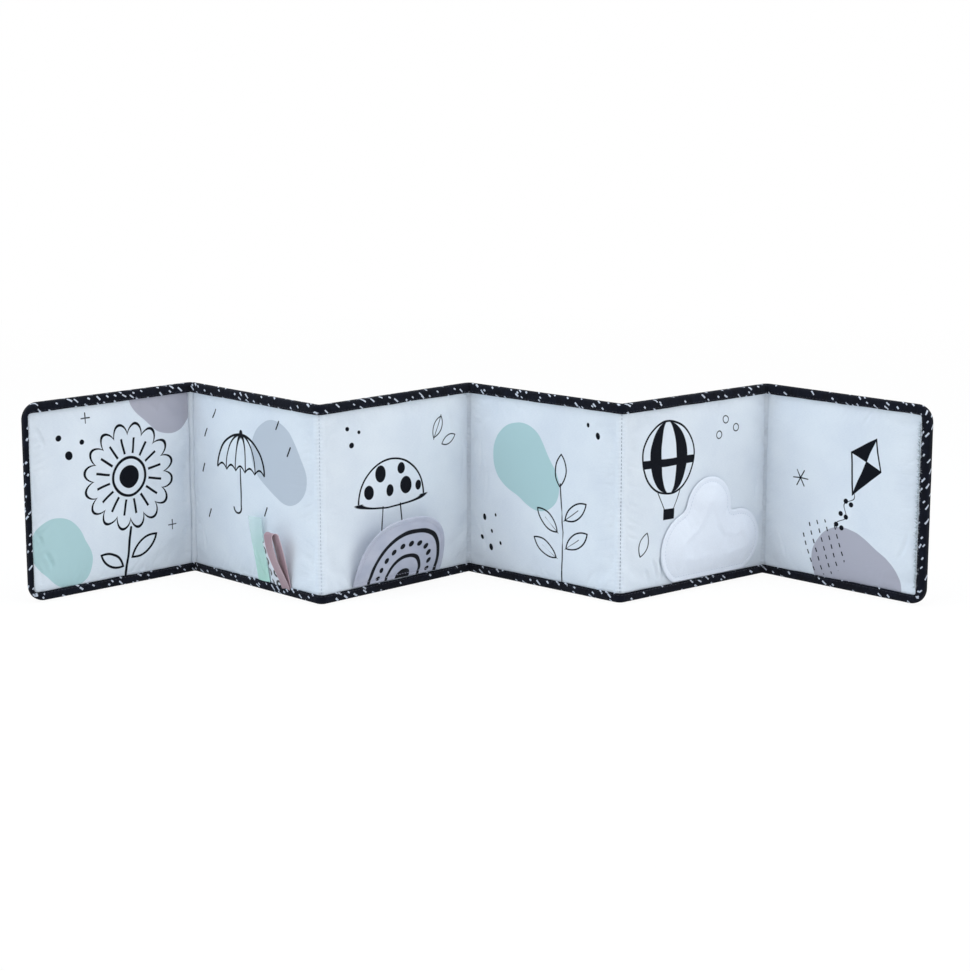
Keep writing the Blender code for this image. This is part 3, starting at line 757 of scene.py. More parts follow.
def makeCover(index, finishes):
    # front and back cloth, joined round the sewn edge; the front is drawn by its own print
    columns = spread(*panelEdges(index))
    inset, margin = coverShape["inset"], coverShape["tapeMargin"]
    rows = spread(inset, bookShape["height"] - inset, margin, margin)
    wide, tall = len(columns), len(rows)
    spots = [(i, j) for i in range(wide) for j in range(tall)]
    places = [roundCorner(index, columns[i], rows[j]) for i, j in spots]
    rim = {n for n, (i, j) in enumerate(spots) if i in (0, wide - 1) or j in (0, tall - 1)}
    sewn = {
        n for n, (i, j) in enumerate(spots)
        if i in (0, 1, wide - 2, wide - 1) or j in (0, 1, 2, tall - 3, tall - 2, tall - 1)
    }
    faces = [
        [a * tall + b for a, b in ((i, j), (i + 1, j), (i + 1, j + 1), (i, j + 1))]
        for i in range(wide - 1) for j in range(tall - 1)
    ]

    def depthAt(n, side):
        i, j = spots[n]
        if n in rim:
            return 0.0
        depth = coverDepth(index, columns[i], rows[j], coverShape["startFill"], side)
        if i == 1 and inHollow(index, True, side) or i == wide - 2 and inHollow(index, False, side):
            depth *= coverShape["dip"]
        return side * depth

    cloths = [finishes["front"][index], finishes["back"]]
    return pillow(f"panel_{index + 1}_cover", places, faces, rim, depthAt, sewn, cloths, "panelPlace")


panelPuff = {"frames": 20, "pressure": 4.0, "slack": 0.02, "cap": 0.0022}  # cap: of how far a point moves
cloudPuff = {"frames": 14, "pressure": 2.0, "slack": 0.012, "cap": 0.0008}
cottonFeel = {
    "quality": 6, "mass": 0.2, "tension_stiffness": 20, "compression_stiffness": 20,
    "shear_stiffness": 8, "bending_stiffness": 0.2, "use_pressure": True, "vertex_group_mass": "sewn",
}


def puff(items, settings):
    # blows the sewn pieces up with the cloth simulation and keeps the result
    scene = bpy.context.scene
    starts = []
    for item in items:
        cloth = item.modifiers.new("puff", "CLOTH")
        for name, value in cottonFeel.items():
            setattr(cloth.settings, name, value)
        cloth.settings.uniform_pressure_force = settings["pressure"]
        cloth.settings.shrink_min = -settings["slack"]
        cloth.settings.effector_weights.gravity = 0
        cloth.collision_settings.use_collision = False
        cloth.point_cache.frame_start, cloth.point_cache.frame_end = 1, settings["frames"]
        starts.append(np.array([v.co for v in item.data.vertices]))
    for number in range(1, settings["frames"] + 1):
        scene.frame_set(number)
    graph = bpy.context.evaluated_depsgraph_get()
    results = [np.array([v.co for v in item.evaluated_get(graph).data.vertices]) for item in items]
    for item, start, result in zip(items, starts, results):
        item.modifiers.clear()
        step = result - start
        length = np.linalg.norm(step, axis=1, keepdims=True)
        step *= np.minimum(1.0, settings["cap"] / np.maximum(length, 1e-9))
        item.data.vertices.foreach_set("co", (start + step).ravel())
        item.data.update()
    scene.frame_set(1)


def holdDepth(item, index):
    # the cloth swells freely at first, and the wadding holds it near the full crown
    for vert in item.data.vertices:
        x, y, z = vert.co
        side = -1 if y < 0 else 1
        start = coverDepth(index, x, z, coverShape["startFill"], side)
        room = coverDepth(index, x, z, 1.0, side) + coverShape["slack"] - start
        over = abs(y) - start
        if over > 0:
            vert.co.y = side * (start + room * (1 - math.exp(-over / room)))


def gatherAt(gap, place, seed):
    # the share of a crease's depth at one spot beside a seam; the creases run in from it
    reach = smooth(gap / creases["start"]) * math.exp(-((gap / creases["length"]) ** 2))
    if reach < 0.01:
        return 0.0
    slant = math.copysign(creases["slant"], noise.noise((place * 9, seed, 2.0)))
    line = (place + gap * slant) / creases["apart"]
    ridge = 1 - abs(noise.noise((line, gap * 30, seed))) * 3.2
    strength = smooth(noise.noise((place * 24, seed, 7.0)) + 0.55)
    return max(ridge, 0.0) ** 1.5 * reach * strength


def markedPress(index, x, z):
    press = 0.0
    for startX, startZ, endX, endZ, depth in markedCreases[index]:
        start, run = Vector((startX, startZ)), Vector((endX - startX, endZ - startZ))
        share = min(max((Vector((x, z)) - start).dot(run) / run.length_squared, 0.0), 1.0)
        bow = Vector((-run.y, run.x)) * 0.08 * math.sin(math.pi * share)
        away = (Vector((x, z)) - start - run * share - bow).length / creases["half"]
        ends = smooth(share * 3) * smooth((1 - share) * 3)
        press = max(press, depth * ends * math.exp(-(away**2)))
        press -= depth * 0.35 * ends * math.exp(-((away - 2) ** 2))  # the small rise beside it
    return press


def gather(item, index):
    # presses small creases into the cloths beside their seams
    depths = creases["edges"]
    low, high, _, _ = panelEdges(index)
    inner = coverShape["inset"] + coverShape["tapeMargin"]
    for vert in item.data.vertices:
        x, y, z = vert.co
        if abs(y) < bookShape["seamDepth"] * 1.05:
            continue
        side = -1 if y < 0 else 1
        press = 0.0
        for edge, atLow in ((low, True), (high, False)):
            outer = index == (0 if atLow else panelCount - 1)
            kind = "end" if outer else "hollow" if inHollow(index, atLow, side) else "ridge"
            gap = abs(x - edge) - (0.004 if outer else 0.001)
            press = max(press, depths[kind] * gatherAt(gap, z, index * 5.3 + side + atLow * 2.1))
        for edge in (inner, bookShape["height"] - inner):
            press = max(press, depths["tape"] * gatherAt(abs(z - edge), x, index * 3.7 + side + edge * 40))
        if side < 0:
            press += markedPress(index, x, z)
        if index in (0, panelCount - 1):
            leg = tapeShape["leftLeg"] if index == 0 else bookShape["tapeLeg"]
            gap = (x if index == 0 else panelLength(index) - x) - leg
            depth, width = creases["groove"]
            uneven = 0.75 + 0.7 * noise.noise(Vector((z * 55, index, side)))
            press += depth * uneven * math.exp(-((gap / width) ** 2))
        vert.co.y = side * max(abs(y) - press, bookShape["seamDepth"])


def subdivide(item, levels=2):
    finer = item.modifiers.new("finer", "SUBSURF")
    finer.levels = finer.render_levels = levels
    applyModifiers(item)


def applyModifiers(item):
    graph = bpy.context.evaluated_depsgraph_get()
    old = item.data
    fresh = bpy.data.meshes.new_from_object(item.evaluated_get(graph), depsgraph=graph)
    item.modifiers.clear()
    item.data = fresh
    fresh.name = item.name
    bpy.data.meshes.remove(old)


def settle(item, matrix):
    item.data.transform(matrix)
    item.data.update()


def rowTree(name, loose, shares):
    # repeats a small shape along a line: stitches that follow it, or loose fibres that stand from it
    tree = bpy.data.node_groups.new(name, "GeometryNodeTree")
    kinds = {"Geometry": "Geometry", "pitch": "Float", "length": "Float", "width": "Float",
             "leastTurn": "Vector", "mostTurn": "Vector", "thread": "Material"}
    for socket, kind in kinds.items():
        tree.interface.new_socket(name=socket, in_out="INPUT", socket_type=f"NodeSocket{kind}")
    tree.interface.new_socket(name="Geometry", in_out="OUTPUT", socket_type="NodeSocketGeometry")
    start = tree.nodes.new("NodeGroupInput").outputs

    def add(kind, values, **settings):
        made = tree.nodes.new(kind)
        for setting, value in settings.items():
            setattr(made, setting, value)
        for key, value in values.items():
            if isinstance(value, bpy.types.NodeSocket):
                tree.links.new(value, made.inputs[key])
            else:
                made.inputs[key].default_value = value
        return made.outputs

    curve = add("GeometryNodeMeshToCurve", {0: start["Geometry"]})
    points = add("GeometryNodeCurveToPoints", {0: curve[0], "Length": start["pitch"]}, mode="LENGTH")
    if loose:
        cone = {"Vertices": 3, "Radius Top": 0.1, "Radius Bottom": 0.5, "Depth": 1.0}
        shape = add("GeometryNodeMeshCone", cone)
        turns = {0: start["leastTurn"], 1: start["mostTurn"], "Seed": 5}
        turns = add("FunctionNodeRandomValue", turns, data_type="FLOAT_VECTOR")
        align = add("FunctionNodeEulerToRotation", {0: turns[0]})
    else:
        shape = add("GeometryNodeMeshUVSphere", {"Segments": 6, "Rings": 5, "Radius": 0.5})
        align = add("FunctionNodeAlignRotationToVector", {"Vector": points["Tangent"]}, axis="Z")
    uneven = add("FunctionNodeRandomValue", {2: shares[0], 3: shares[1], "Seed": 11}, data_type="FLOAT")
    long = add("ShaderNodeMath", {0: start["length"], 1: uneven[1]}, operation="MULTIPLY")
    size = add("ShaderNodeCombineXYZ", {0: start["width"], 1: start["width"], 2: long[0]})
    placed = {"Points": points[0], "Instance": shape[0], "Rotation": align[0], "Scale": size[0]}
    placed = add("GeometryNodeInstanceOnPoints", placed)
    real = add("GeometryNodeRealizeInstances", {0: placed[0]})
    smoothed = add("GeometryNodeSetShadeSmooth", {0: real[0]})
    done = add("GeometryNodeSetMaterial", {0: smoothed[0], "Material": start["thread"]})
    add("NodeGroupOutput", {0: done[0]})
    return tree


stitchRow = rowTree("stitchRow", False, (0.85, 1.10))
fringeRow = rowTree("fringeRow", True, (0.3, 1.0))
foldStitch = {"pitch": 0.0031, "length": 0.0024, "width": 0.00055}
hemStitch = {"pitch": 0.0030, "length": 0.0023, "width": 0.00045}
tapeStitch = {"pitch": 0.0033, "length": 0.0026, "width": 0.00050}
fringe = {
    "pitch": 0.00032,
    "innerPitch": 0.0005,  # of the darker fibres that lie inwards, coloured dark as painted shade beside the tape's edge
    "inset": -0.0006,
    "length": 0.0040,
    "width": 0.00042,
    "lift": (0.04, 0.35),
    "turns": (30.0, 150.0),
}


def sewRow(name, path, settings, thread, tree=stitchRow):
    # path is a list of lines, each a list of points
    verts, edges = [], []
    for line in path:
        for n, point in enumerate(line):
            if n:
                edges.append((len(verts) - 1, len(verts)))
            verts.append(tuple(point))
    mesh = bpy.data.meshes.new(name)
    mesh.from_pydata(verts, edges, [])
    item = bpy.data.objects.new(name, mesh)
    bpy.context.scene.collection.objects.link(item)
    row = item.modifiers.new("row", "NODES")
    row.node_group = tree
    values = {**settings, "thread": thread}
    for socket in tree.interface.items_tree:
        if socket.in_out == "INPUT" and socket.name in values:
            row[socket.identifier] = values[socket.name]
    bpy.context.view_layer.update()
    applyModifiers(item)
    return item


def makeFringe(index, finishes):
    # worn fibres of the cloth that stand out over the tape's inner edge at a free end; at the last panel a
    # second row lies inwards, darkened as painted shade beside the tape
    first = index == 0
    leg, outward = (tapeShape["leftLeg"], -1) if first else (bookShape["tapeLeg"], 1)
    x = leg if first else panelLength(index) - leg
    margin = bookShape["cornerRadius"]
    path = []
    for n in range(120):
        z = margin + (bookShape["height"] - 2 * margin) * n / 119
        drift = noise.noise(Vector((z * 90, 3.3 + index, 0))) * 0.0006
        path.append(Vector((x + drift - outward * 0.0009, -tapeShape["halfWidth"] + 0.0002, z)))
    low, high = (math.radians(angle) for angle in fringe["turns"])
    sparse, short = (4.0, 0.5) if first else (1.0, 1.0)
    rows = [("fringe", "fibre", path, fringe["pitch"] * sparse, sorted((low * outward, high * outward)))]
    if not first:
        # the inward fibres are coloured dark as painted shade along the tape's inner edge
        inner = [point - Vector((outward * fringe["inset"], 0, 0)) for point in path]
        rows.append(("fringe_inner", "paintedShadeFibre", inner, fringe["innerPitch"], (-high, -low)))
    for name, finish, line, pitch, turns in rows:
        settings = {"pitch": pitch, "width": fringe["width"], "length": fringe["length"] * short}
        for socket, lift, turn in zip(("leastTurn", "mostTurn"), fringe["lift"], turns):
            settings[socket] = (lift, turn, 0.0)
        item = sewRow(f"panel_{index + 1}_{name}", [line], settings, finishes[finish], fringeRow)
        settle(item, panelFrames[index])
        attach(item, f"panel_{index + 1}")


foldShape = {
    "steps": 14,
    "straight": 4,
    "reach": 0.0022,  # of the flat cloth on each side
    "lie": 0.00008,
    "pinch": 0.0006,  # of the stitches on the outer side
    "edge": 0.0003,
    "pleatHalf": 0.0012,
    "crest": 0.0003,
    "hollows": (0.0027, 0.0012, 0.0005, 0.0012, 0.0006),  # the cloth's height in each fold's hollow
    "tucked": 0.55,  # of the depth where it ends under the cover
    "ripple": 0.00022,
    "rows": 60,
    "blendHalf": 0.0030,
    "threadInset": 0.006,  # of the stitches from the top and the bottom
}


def foldTurn(fold):
    # the axis, and the angle from one panel to the next
    axis = panelFrames[fold] @ Vector((panelLength(fold), axisDepth(fold), 0))
    return axis, math.radians(bookShape["headings"][fold + 1] - bookShape["headings"][fold])


def turnedAbout(axis, angle):
    return Matrix.Translation(axis) @ Matrix.Rotation(angle, 4, "Z") @ Matrix.Translation(-axis)


def foldStations(fold):
    # places across a fold as (frame, distance from its middle, gap to the bend, share of the bend)
    before, after = panelFrames[fold], panelFrames[fold + 1]
    length, reach, straight = panelLength(fold), foldShape["reach"], foldShape["straight"]
    axis, total = foldTurn(fold)
    arc = bookShape["axisDepth"] * abs(total)
    stations = []
    for n in range(straight):
        gap = reach * (1 - n / straight)
        stations.append((before @ Matrix.Translation((length - gap, 0, 0)), -gap - arc / 2, gap, 0.0))
    for n in range(foldShape["steps"] + 1):
        share = n / foldShape["steps"]
        turn = turnedAbout(axis, total * share) @ before @ Matrix.Translation((length, 0, 0))
        stations.append((turn, arc * (share - 0.5), 0.0, math.sin(math.pi * share)))
    for n in range(1, straight + 1):
        gap = reach * n / straight
        stations.append((after @ Matrix.Translation((gap, 0, 0)), gap + arc / 2, gap, 0.0))
    return stations


def foldDepth(fold, gap, bend, hollow):
    if hollow:
        # a high one stands up as a pleat
        rise = smooth(1 - gap / foldShape["pleatHalf"])
        low, high = foldShape["edge"], foldShape["hollows"][fold]
        return low + (high - low) * rise + foldShape["crest"] * bend
    tucked = foldShape["tucked"] if gap > foldShape["reach"] * 0.99 else 1.0
    return (bookShape["seamDepth"] + foldShape["lie"]) * tucked - foldShape["pinch"] * bend**6


def makeFold(fold, finishes):
    bottom, top = coverShape["inset"], bookShape["height"] - coverShape["inset"]
    stations = foldStations(fold)
    rows = [bottom + (top - bottom) * n / foldShape["rows"] for n in range(foldShape["rows"] + 1)]
    verts, uvs, faces = [], [], []
    for side in (-1, 1):
        hollow = side == hollowSide(fold)
        for place, along, gap, bend in stations:
            for z in rows:
                spot = Vector((fold * 7.1 + along * 60, z * 150, side * 3.0))
                depth = foldDepth(fold, gap, bend, hollow)
                depth += noise.noise(spot) * foldShape["ripple"] * (0.3 + bend)
                verts.append(place @ Vector((0, side * depth, z)))
                uvs.append((along, z))
    tall, wide = len(rows), len(stations)

    def at(side, n, m):
        return (side * wide + n) * tall + m

    for side in (0, 1):
        for n in range(wide - 1):
            for m in range(tall - 1):
                ring = [at(side, n, m), at(side, n + 1, m), at(side, n + 1, m + 1), at(side, n, m + 1)]
                faces.append(ring if side == 0 else ring[::-1])
    for n in range(wide - 1):
        faces.append([at(0, n, 0), at(1, n, 0), at(1, n + 1, 0), at(0, n + 1, 0)])
        faces.append([at(0, n, tall - 1), at(0, n + 1, tall - 1), at(1, n + 1, tall - 1), at(1, n, tall - 1)])
    for m in range(tall - 1):
        faces.append([at(0, 0, m), at(0, 0, m + 1), at(1, 0, m + 1), at(1, 0, m)])
        faces.append([at(0, wide - 1, m), at(1, wide - 1, m), at(1, wide - 1, m + 1), at(0, wide - 1, m + 1)])
    item = newPiece(f"fold_{fold + 1}_cloth", verts, faces, [finishes["fold"]], "foldPlace", uvs)
    turnOut(item)
    blendFold(item, fold)
    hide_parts(f"fold_{fold + 1}_seam")
    middle = stations[len(stations) // 2][0]
    lift = foldDepth(fold, 0.0, 1.0, False)
    low = foldShape["threadInset"]
    heights = [low + (bookShape["height"] - 2 * low) * n / 80 for n in range(81)]
    path = [[middle @ Vector((0, -hollowSide(fold) * lift, z)) for z in heights]]
    thread = finishes["paleThread" if fold == 1 else "foldThread"]
    blendFold(sewRow(f"fold_{fold + 1}_stitches", path, foldStitch, thread), fold)


def blendFold(item, fold, half=foldShape["blendHalf"]):
    # bakes the piece's place into its mesh; the span across the fold's middle line, between the two panels,
    # is worked out but not used
    axis, total = foldTurn(fold)
    heading = math.radians(bookShape["headings"][fold]) + total / 2
    across = Vector((math.cos(heading), math.sin(heading), 0)) * half
    axis - across
    axis + across
    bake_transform(item)


tapeShape = {
    "leftLeg": 0.0035,  # of the narrow front at the left end
    "halfWidth": 0.0033,
    "slotHalf": 0.0020,
    "roll": 0.0024,
    "thick": 0.0013,
    "bulge": 0.00035,
    "wobble": 0.00045,
    "swell": 0.00022,
    "spacing": 0.0022,
    "lip": 0.0006,  # of its rounded inner edge
    "flatReach": 0.010,  # beside a fold, where it lies flat
    "foldSteps": 12,
    "foldGap": 0.0001,  # clear of the fold's axis
    "blendHalf": 0.0034,
    "squareness": 7.0,  # of the front's inner corners at the two ends
}


def tapeLegSection(bulge, leg):
    # (depth, inward) from inside a leg to the middle of the outer edge
    half, roll, slot = tapeShape["halfWidth"], tapeShape["roll"], tapeShape["slotHalf"]
    top = leg - tapeShape["lip"]
    points = [(slot, leg - 0.0007), (slot + 0.00045, leg - 0.0001), (half - 0.0004, leg)]
    points.append((half + bulge * 0.3, top))
    for n in range(1, 6):
        share = n / 6
        points.append((half + bulge * math.sin(math.pi * share) ** 0.8, top - (top - roll) * share))
    for n in range(7):
        angle = math.radians(90) * n / 6
        points.append((half - roll * (1 - math.cos(angle)), roll * (1 - math.sin(angle))))
    return points


def tapeSection(bulge, frontLeg):
    # (y, inward) round the section, from inside the front leg over the outer edge to the back one
    front = [(-y, deep) for y, deep in tapeLegSection(bulge, frontLeg)]
    back = tapeLegSection(bulge, bookShape["tapeLeg"])
    slot, thick = tapeShape["slotHalf"], tapeShape["thick"]
    return front + back[::-1], [(slot, thick), (-slot, thick)]


def tapeRun(name, stations, start, finishes, fades, legs=None):
    # sweeps the section along the stations; returns the piece, its lines of stitches and the distance reached
    verts, uvs, seams = [], [], ([], [])
    reached = start
    previous = None
    legs = legs or [bookShape["tapeLeg"]] * len(stations)
    for (place, limit), fade, leg in zip(stations, fades, legs):
        origin = place.translation
        if previous is not None:
            reached += (origin - previous).length
        previous = origin
        outer, inner = tapeSection(tapeShape["bulge"] * fade, leg)
        nearDrift, farDrift = (
            noise.noise(Vector((reached * pace, seed, 0))) * tapeShape["wobble"]
            for pace, seed in ((38, 1.7), (41, 6.1))
        )
        swell = noise.noise(Vector((reached * 60, 9.2, 0))) * tapeShape["swell"] * fade
        across, before = 0.0, None
        section = outer + inner
        for n, (y, deep) in enumerate(section):
            if n < 4 or len(outer) - 5 < n < len(outer):
                deep += nearDrift if n < 4 else farDrift
            if n < len(outer) and abs(y) > 0.001:
                y += math.copysign(swell, y)
            if limit is not None:
                gap = tapeShape["foldGap"]
                y = max(y, limit + gap) if limit < 0 else min(y, limit - gap)
            if before is not None:
                across += math.hypot(y - before[0], deep - before[1])
            before = (y, deep)
            verts.append(place @ Vector((0, y, -deep)))
            uvs.append((reached, across))
            if n in (4, len(outer) - 5):
                seams[0 if n == 4 else 1].append(verts[-1])
    ring, last = len(section), len(verts) - 1
    faces = ringFaces(ring, len(stations))
    faces += [list(range(ring)), [last - m for m in range(ring)]]
    item = newPiece(name, verts, faces, [finishes["tape"]], "tapePlace", uvs, 50)
    turnOut(item)
    stitches = sewRow(f"{name}_stitches", seams, tapeStitch, finishes["tapeThread"])
    return item, stitches, reached


def straightStations(index, top, x1, x2):
    height = bookShape["height"] if top else 0.0
    upright = Matrix.Scale(1 if top else -1, 4, (0, 0, 1))
    count = max(round(abs(x2 - x1) / tapeShape["spacing"]), 1)
    places = (x1 + (x2 - x1) * n / count for n in range(count + 1))
    return [(panelFrames[index] @ Matrix.Translation((x, 0, height)) @ upright, None) for x in places]


def foldFade(index, x):
    # the tape lies flat beside a fold
    before = x if index > 0 else 1.0
    after = panelLength(index) - x if index < panelCount - 1 else 1.0
    return smooth(min(before, after) / tapeShape["flatReach"])


def makeFoldTape(fold, top, start, finishes):
    # from the middle of one panel over the fold to the middle of the next
    length, following = panelLength(fold), panelLength(fold + 1)
    stations = straightStations(fold, top, length / 2, length)
    fades = [foldFade(fold, length / 2 + length / 2 * n / (len(stations) - 1)) for n in range(len(stations))]
    axis, total = foldTurn(fold)
    last, steps = stations[-1][0], tapeShape["foldSteps"]
    for n in range(1, steps):
        stations.append((turnedAbout(axis, total * n / steps) @ last, axisDepth(fold)))
        fades.append(0.0)
    rest = straightStations(fold + 1, top, 0.0, following / 2)
    fades += [foldFade(fold + 1, following / 2 * n / (len(rest) - 1)) for n in range(len(rest))]
    stations += rest
    if not top:
        stations.reverse()
        fades.reverse()
    edge = "top" if top else "bottom"
    item, stitches, reached = tapeRun(f"tape_{edge}_{fold + 1}", stations, start, finishes, fades)
    for made in (item, stitches):
        blendFold(made, fold, tapeShape["blendHalf"])
    nodes = [f"fold_{fold + 1}_{edge}_binding"]
    nodes += [f"panel_{k + 1}_{edge}_binding" for k in (fold, fold + 1) if 0 < k < panelCount - 1]
    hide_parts(*nodes)
    return reached


def makeEndTape(index, start, finishes):
    # round the outer end of the first or the last panel, from the middle of one long edge to the other
    first = index == 0
    length, height, radius = panelLength(index), bookShape["height"], bookShape["cornerRadius"]
    full, squareness = bookShape["tapeLeg"], tapeShape["squareness"]
    narrow = tapeShape["leftLeg"] if first else full
    outward, outer = (-1, 0.0) if first else (1, length)
    centre, flank = outer - outward * radius, height - 2 * radius
    stations, legs = [], []

    def add(x, z, angle, leg, lift=0.0):
        turn = Matrix.Translation((x, 0, z)) @ Matrix.Rotation(angle, 4, "Y")
        stations.append((panelFrames[index] @ turn @ Matrix.Translation((0, 0, lift)), None))
        legs.append(leg)

    def addCorner(level, begin):
        for n in range(11):
            angle = math.radians(begin + 90 * n / 10)
            above = abs(math.cos(angle)) / (radius - full)
            beside = abs(math.sin(angle)) / (radius - narrow)
            leg = radius - (above**squareness + beside**squareness) ** (-1 / squareness)
            add(centre, level, outward * angle, leg, radius)

    run = centre - length / 2
    count, sideCount = (round(abs(span) / tapeShape["spacing"]) for span in (run, flank))
    for n in range(count):
        add(length / 2 + run * n / count, height, 0.0, full)
    addCorner(height - radius, 0)
    for n in range(1, sideCount):
        add(outer, height - radius - flank * n / sideCount, outward * math.pi / 2, narrow)
    addCorner(radius, 90)
    for n in range(1, count + 1):
        add(centre - run * n / count, 0.0, math.pi, full)
    if first:
        stations.reverse()
        legs.reverse()
    name = "tape_left_end" if first else "tape_right_end"
    item, stitches, reached = tapeRun(name, stations, start, finishes, [1.0] * len(stations), legs)
    for made in (item, stitches):
        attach(made, f"panel_{index + 1}")
    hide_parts(f"panel_{index + 1}_binding")
    return reached


# A flap is two cloths sewn round a rim, on a straight foot: x along the panel, z up the flap.

archShape = {
    "width": 0.100,
    "height": 0.0605,
    "skew": -0.07,
    "squareness": 2.6,
    "lean": 22.0,  # degrees off the panel
    "hem": 0.0042,
    "edgeHalf": 0.00085,
    "fullHalf": 0.00120,
}
cloudShape = {
    "lobes": ((0.0690, 0.0280, 0.0318), (0.0910, 0.0600, 0.0265), (0.1265, 0.0265, 0.0280)),
    "hem": 0.0045,
    "edgeHalf": 0.00065,
    "frontHalf": 0.0038,
    "backHalf": 0.0019,
    "seat": 0.0006,  # clear of the panel
}
flapRoot = 0.00085  # how far the foot reaches below the hinge
flapCell = 0.0030


def archOutline():
    half, height = archShape["width"] / 2, archShape["height"]
    points = [Vector((half * (1 - 2 * n / 30), -flapRoot)) for n in range(30)]
    power = 2 / archShape["squareness"]
    for n in range(72):
        angle = math.pi * (1 - n / 72)
        rise = height * math.sin(angle) ** power
        across = half * math.copysign(abs(math.cos(angle)) ** power, math.cos(angle))
        points.append(Vector((across + archShape["skew"] * rise, rise - flapRoot)))
    return points


def cloudOutline():
    lobes = [(Vector((x, z)), radius) for x, z, radius in cloudShape["lobes"]]

    def foot(middle, radius, side):
        return middle + Vector((side * math.sqrt(radius**2 - middle.y**2), -middle.y))

    corners = [foot(*lobes[0], -1)]
    for (a, near), (b, far) in zip(lobes, lobes[1:]):
        apart = (b - a).length
        along = (near**2 - far**2 + apart**2) / (2 * apart)
        across = Vector((a.y - b.y, b.x - a.x)) / apart
        corners.append(a + (b - a) / apart * along + across * math.sqrt(near**2 - along**2))
    corners.append(foot(*lobes[2], 1))
    points = [corners[3].lerp(corners[0], n / 28) for n in range(28)]
    for (middle, radius), start, end in zip(lobes, corners, corners[1:]):
        first = math.atan2(start.y - middle.y, start.x - middle.x) % (2 * math.pi)
        last = math.atan2(end.y - middle.y, end.x - middle.x)
        for n in range(30):
            angle = first + (last - first) * n / 30
            points.append(middle + radius * Vector((math.cos(angle), math.sin(angle))))
    return [point - Vector((0, flapRoot)) for point in points]


def rounded(outline, passes):
    # softens the inner corners between lobes, leaving the foot straight
    points = [point.copy() for point in outline]
    for _ in range(passes):
        middle = [(points[n - 1] + points[(n + 1) % len(points)]) / 2 for n in range(len(points))]
        points = [p if p.y < 0.0005 else p.lerp(m, 0.5) for p, m in zip(points, middle)]
    return points


def insetRing(outline, distance):
    made = []
    for n, point in enumerate(outline):
        along = outline[(n + 1) % len(outline)] - outline[n - 1]
        inward = Vector((along.y, -along.x)).normalized()
        made.append(point + inward * distance)
    return made


def rimDistance(points, outline):
    a = np.array([tuple(p) for p in outline])
    b = np.roll(a, -1, axis=0)
    p = np.array([tuple(q) for q in points])
    along = b - a
    share = ((p[:, None] - a) * along).sum(2) / (along**2).sum(1)
    foot = a + np.clip(share, 0, 1)[..., None] * along
    return np.linalg.norm(p[:, None] - foot, axis=2).min(1)


def flapLayers(outline, hem):
    # a flat triangle net with rings at the rim, just inside it and at the stitches
    rings = [outline, insetRing(outline, 0.0007), insetRing(outline, hem * 0.55), insetRing(outline, hem)]
    points = [point for ring in rings for point in ring]
    count = len(outline)
    edges = [(k * count + n, k * count + (n + 1) % count) for k in range(1, 4) for n in range(count)]
    low, high = (Vector((end(p.x for p in outline), end(p.y for p in outline))) for end in (min, max))
    rowHeight = flapCell * 0.87
    net = [
        Vector((low.x + (i + 0.5 * (j % 2)) * flapCell, low.y + j * rowHeight))
        for j in range(int((high.y - low.y) / rowHeight)) for i in range(int((high.x - low.x) / flapCell))
    ]
    a = np.array([tuple(p) for p in rings[3]])
    b = np.roll(a, -1, 0)
    kept = []
    for point, gap in zip(net, rimDistance(net, rings[3])):
        x, z = point
        crosses = (a[:, 1] > z) != (b[:, 1] > z)
        at = a[:, 0] + (z - a[:, 1]) / (b[:, 1] - a[:, 1] + 1e-12) * (b[:, 0] - a[:, 0])
        if gap > flapCell * 0.45 and (np.sum(crosses & (x < at)) % 2):
            kept.append(point)
    verts, _, faces, *_ = delaunay_2d_cdt(points + kept, edges, [list(range(count))], 1, 1e-7)
    return verts, faces


def makeFlap(name, outline, settings, middleDepth, halfDepth, cloths):
    net, faces = flapLayers(outline, settings["hem"])
    gaps = rimDistance(net, outline)
    rim = {n for n, gap in enumerate(gaps) if gap < 1e-5}
    sewn = {n for n, gap in enumerate(gaps) if gap < settings["hem"] + 0.0002}

    def depthAt(n, side):
        return middleDepth(*net[n]) + (0.0 if n in rim else side * halfDepth(gaps[n], side))

    item = pillow(name, net, faces, rim, depthAt, sewn, cloths, "flapPlace")
    turnOut(item)
    return item


def flapFrame(joint, heading, lean):
    place = foldPlaces[joint]
    turned = Matrix.Rotation(math.radians(heading), 4, "Z") @ Matrix.Rotation(math.radians(lean), 4, "X")
    return Matrix.Translation(place) @ turned


def hemRow(outline, distance, middle, lift):
    # the line of stitches inside the rim, on the front or the back
    line = [p for p in insetRing(outline, distance) if p.y > -flapRoot + distance * 0.6]
    return [Vector((p.x, middle(p.x, p.y) + lift, p.y)) for p in line]


def archMaterial(name):
    board = Board(name)
    place = board.place("flapPlace")
    ground = board.ramp(board.noise(place, 60.0, 3.0), (0.3, paint(178, 183, 200)), (0.7, colours["arch"]))
    art = Print(board, place, ground)
    across, up = board.parts(art.place)
    middle, half, tall, power = 0.004, 0.047, 0.0585, 2.4
    wide = abs((across - middle) / half).math("POWER", power)
    reach = (wide + abs((up + 0.001) / tall).math("POWER", power)).math("POWER", 1 / power) * half
    art.line(reach - 0.0375, 0.0035)
    art.line(reach - 0.0180, 0.0030)
    art.dab(reach - 0.0080)
    beads = 11
    angle = up.math("ARCTAN2", across - middle)
    bead = ((angle * (beads / math.pi)).fraction() - 0.5) * (math.pi / beads) * reach
    spot = bead * bead + (reach - 0.0278) * (reach - 0.0278)
    art.dab(spot.math("SQRT") - 0.0023)
    normal = board.bump(board.noise(place, 500.0, 2.0), 0.00010, 0.8)
    normal = board.bump(board.noise(place, 70.0, 1.0), 0.0008, 0.5, normal)
    return board.finish(art.done(), 0.85, normal, clothFinish["specular"], clothFinish["sheen"])


def ribbonSizes(*sizes):
    return dict(zip(("centre", "width", "height", "reach", "twist", "sway"), sizes))


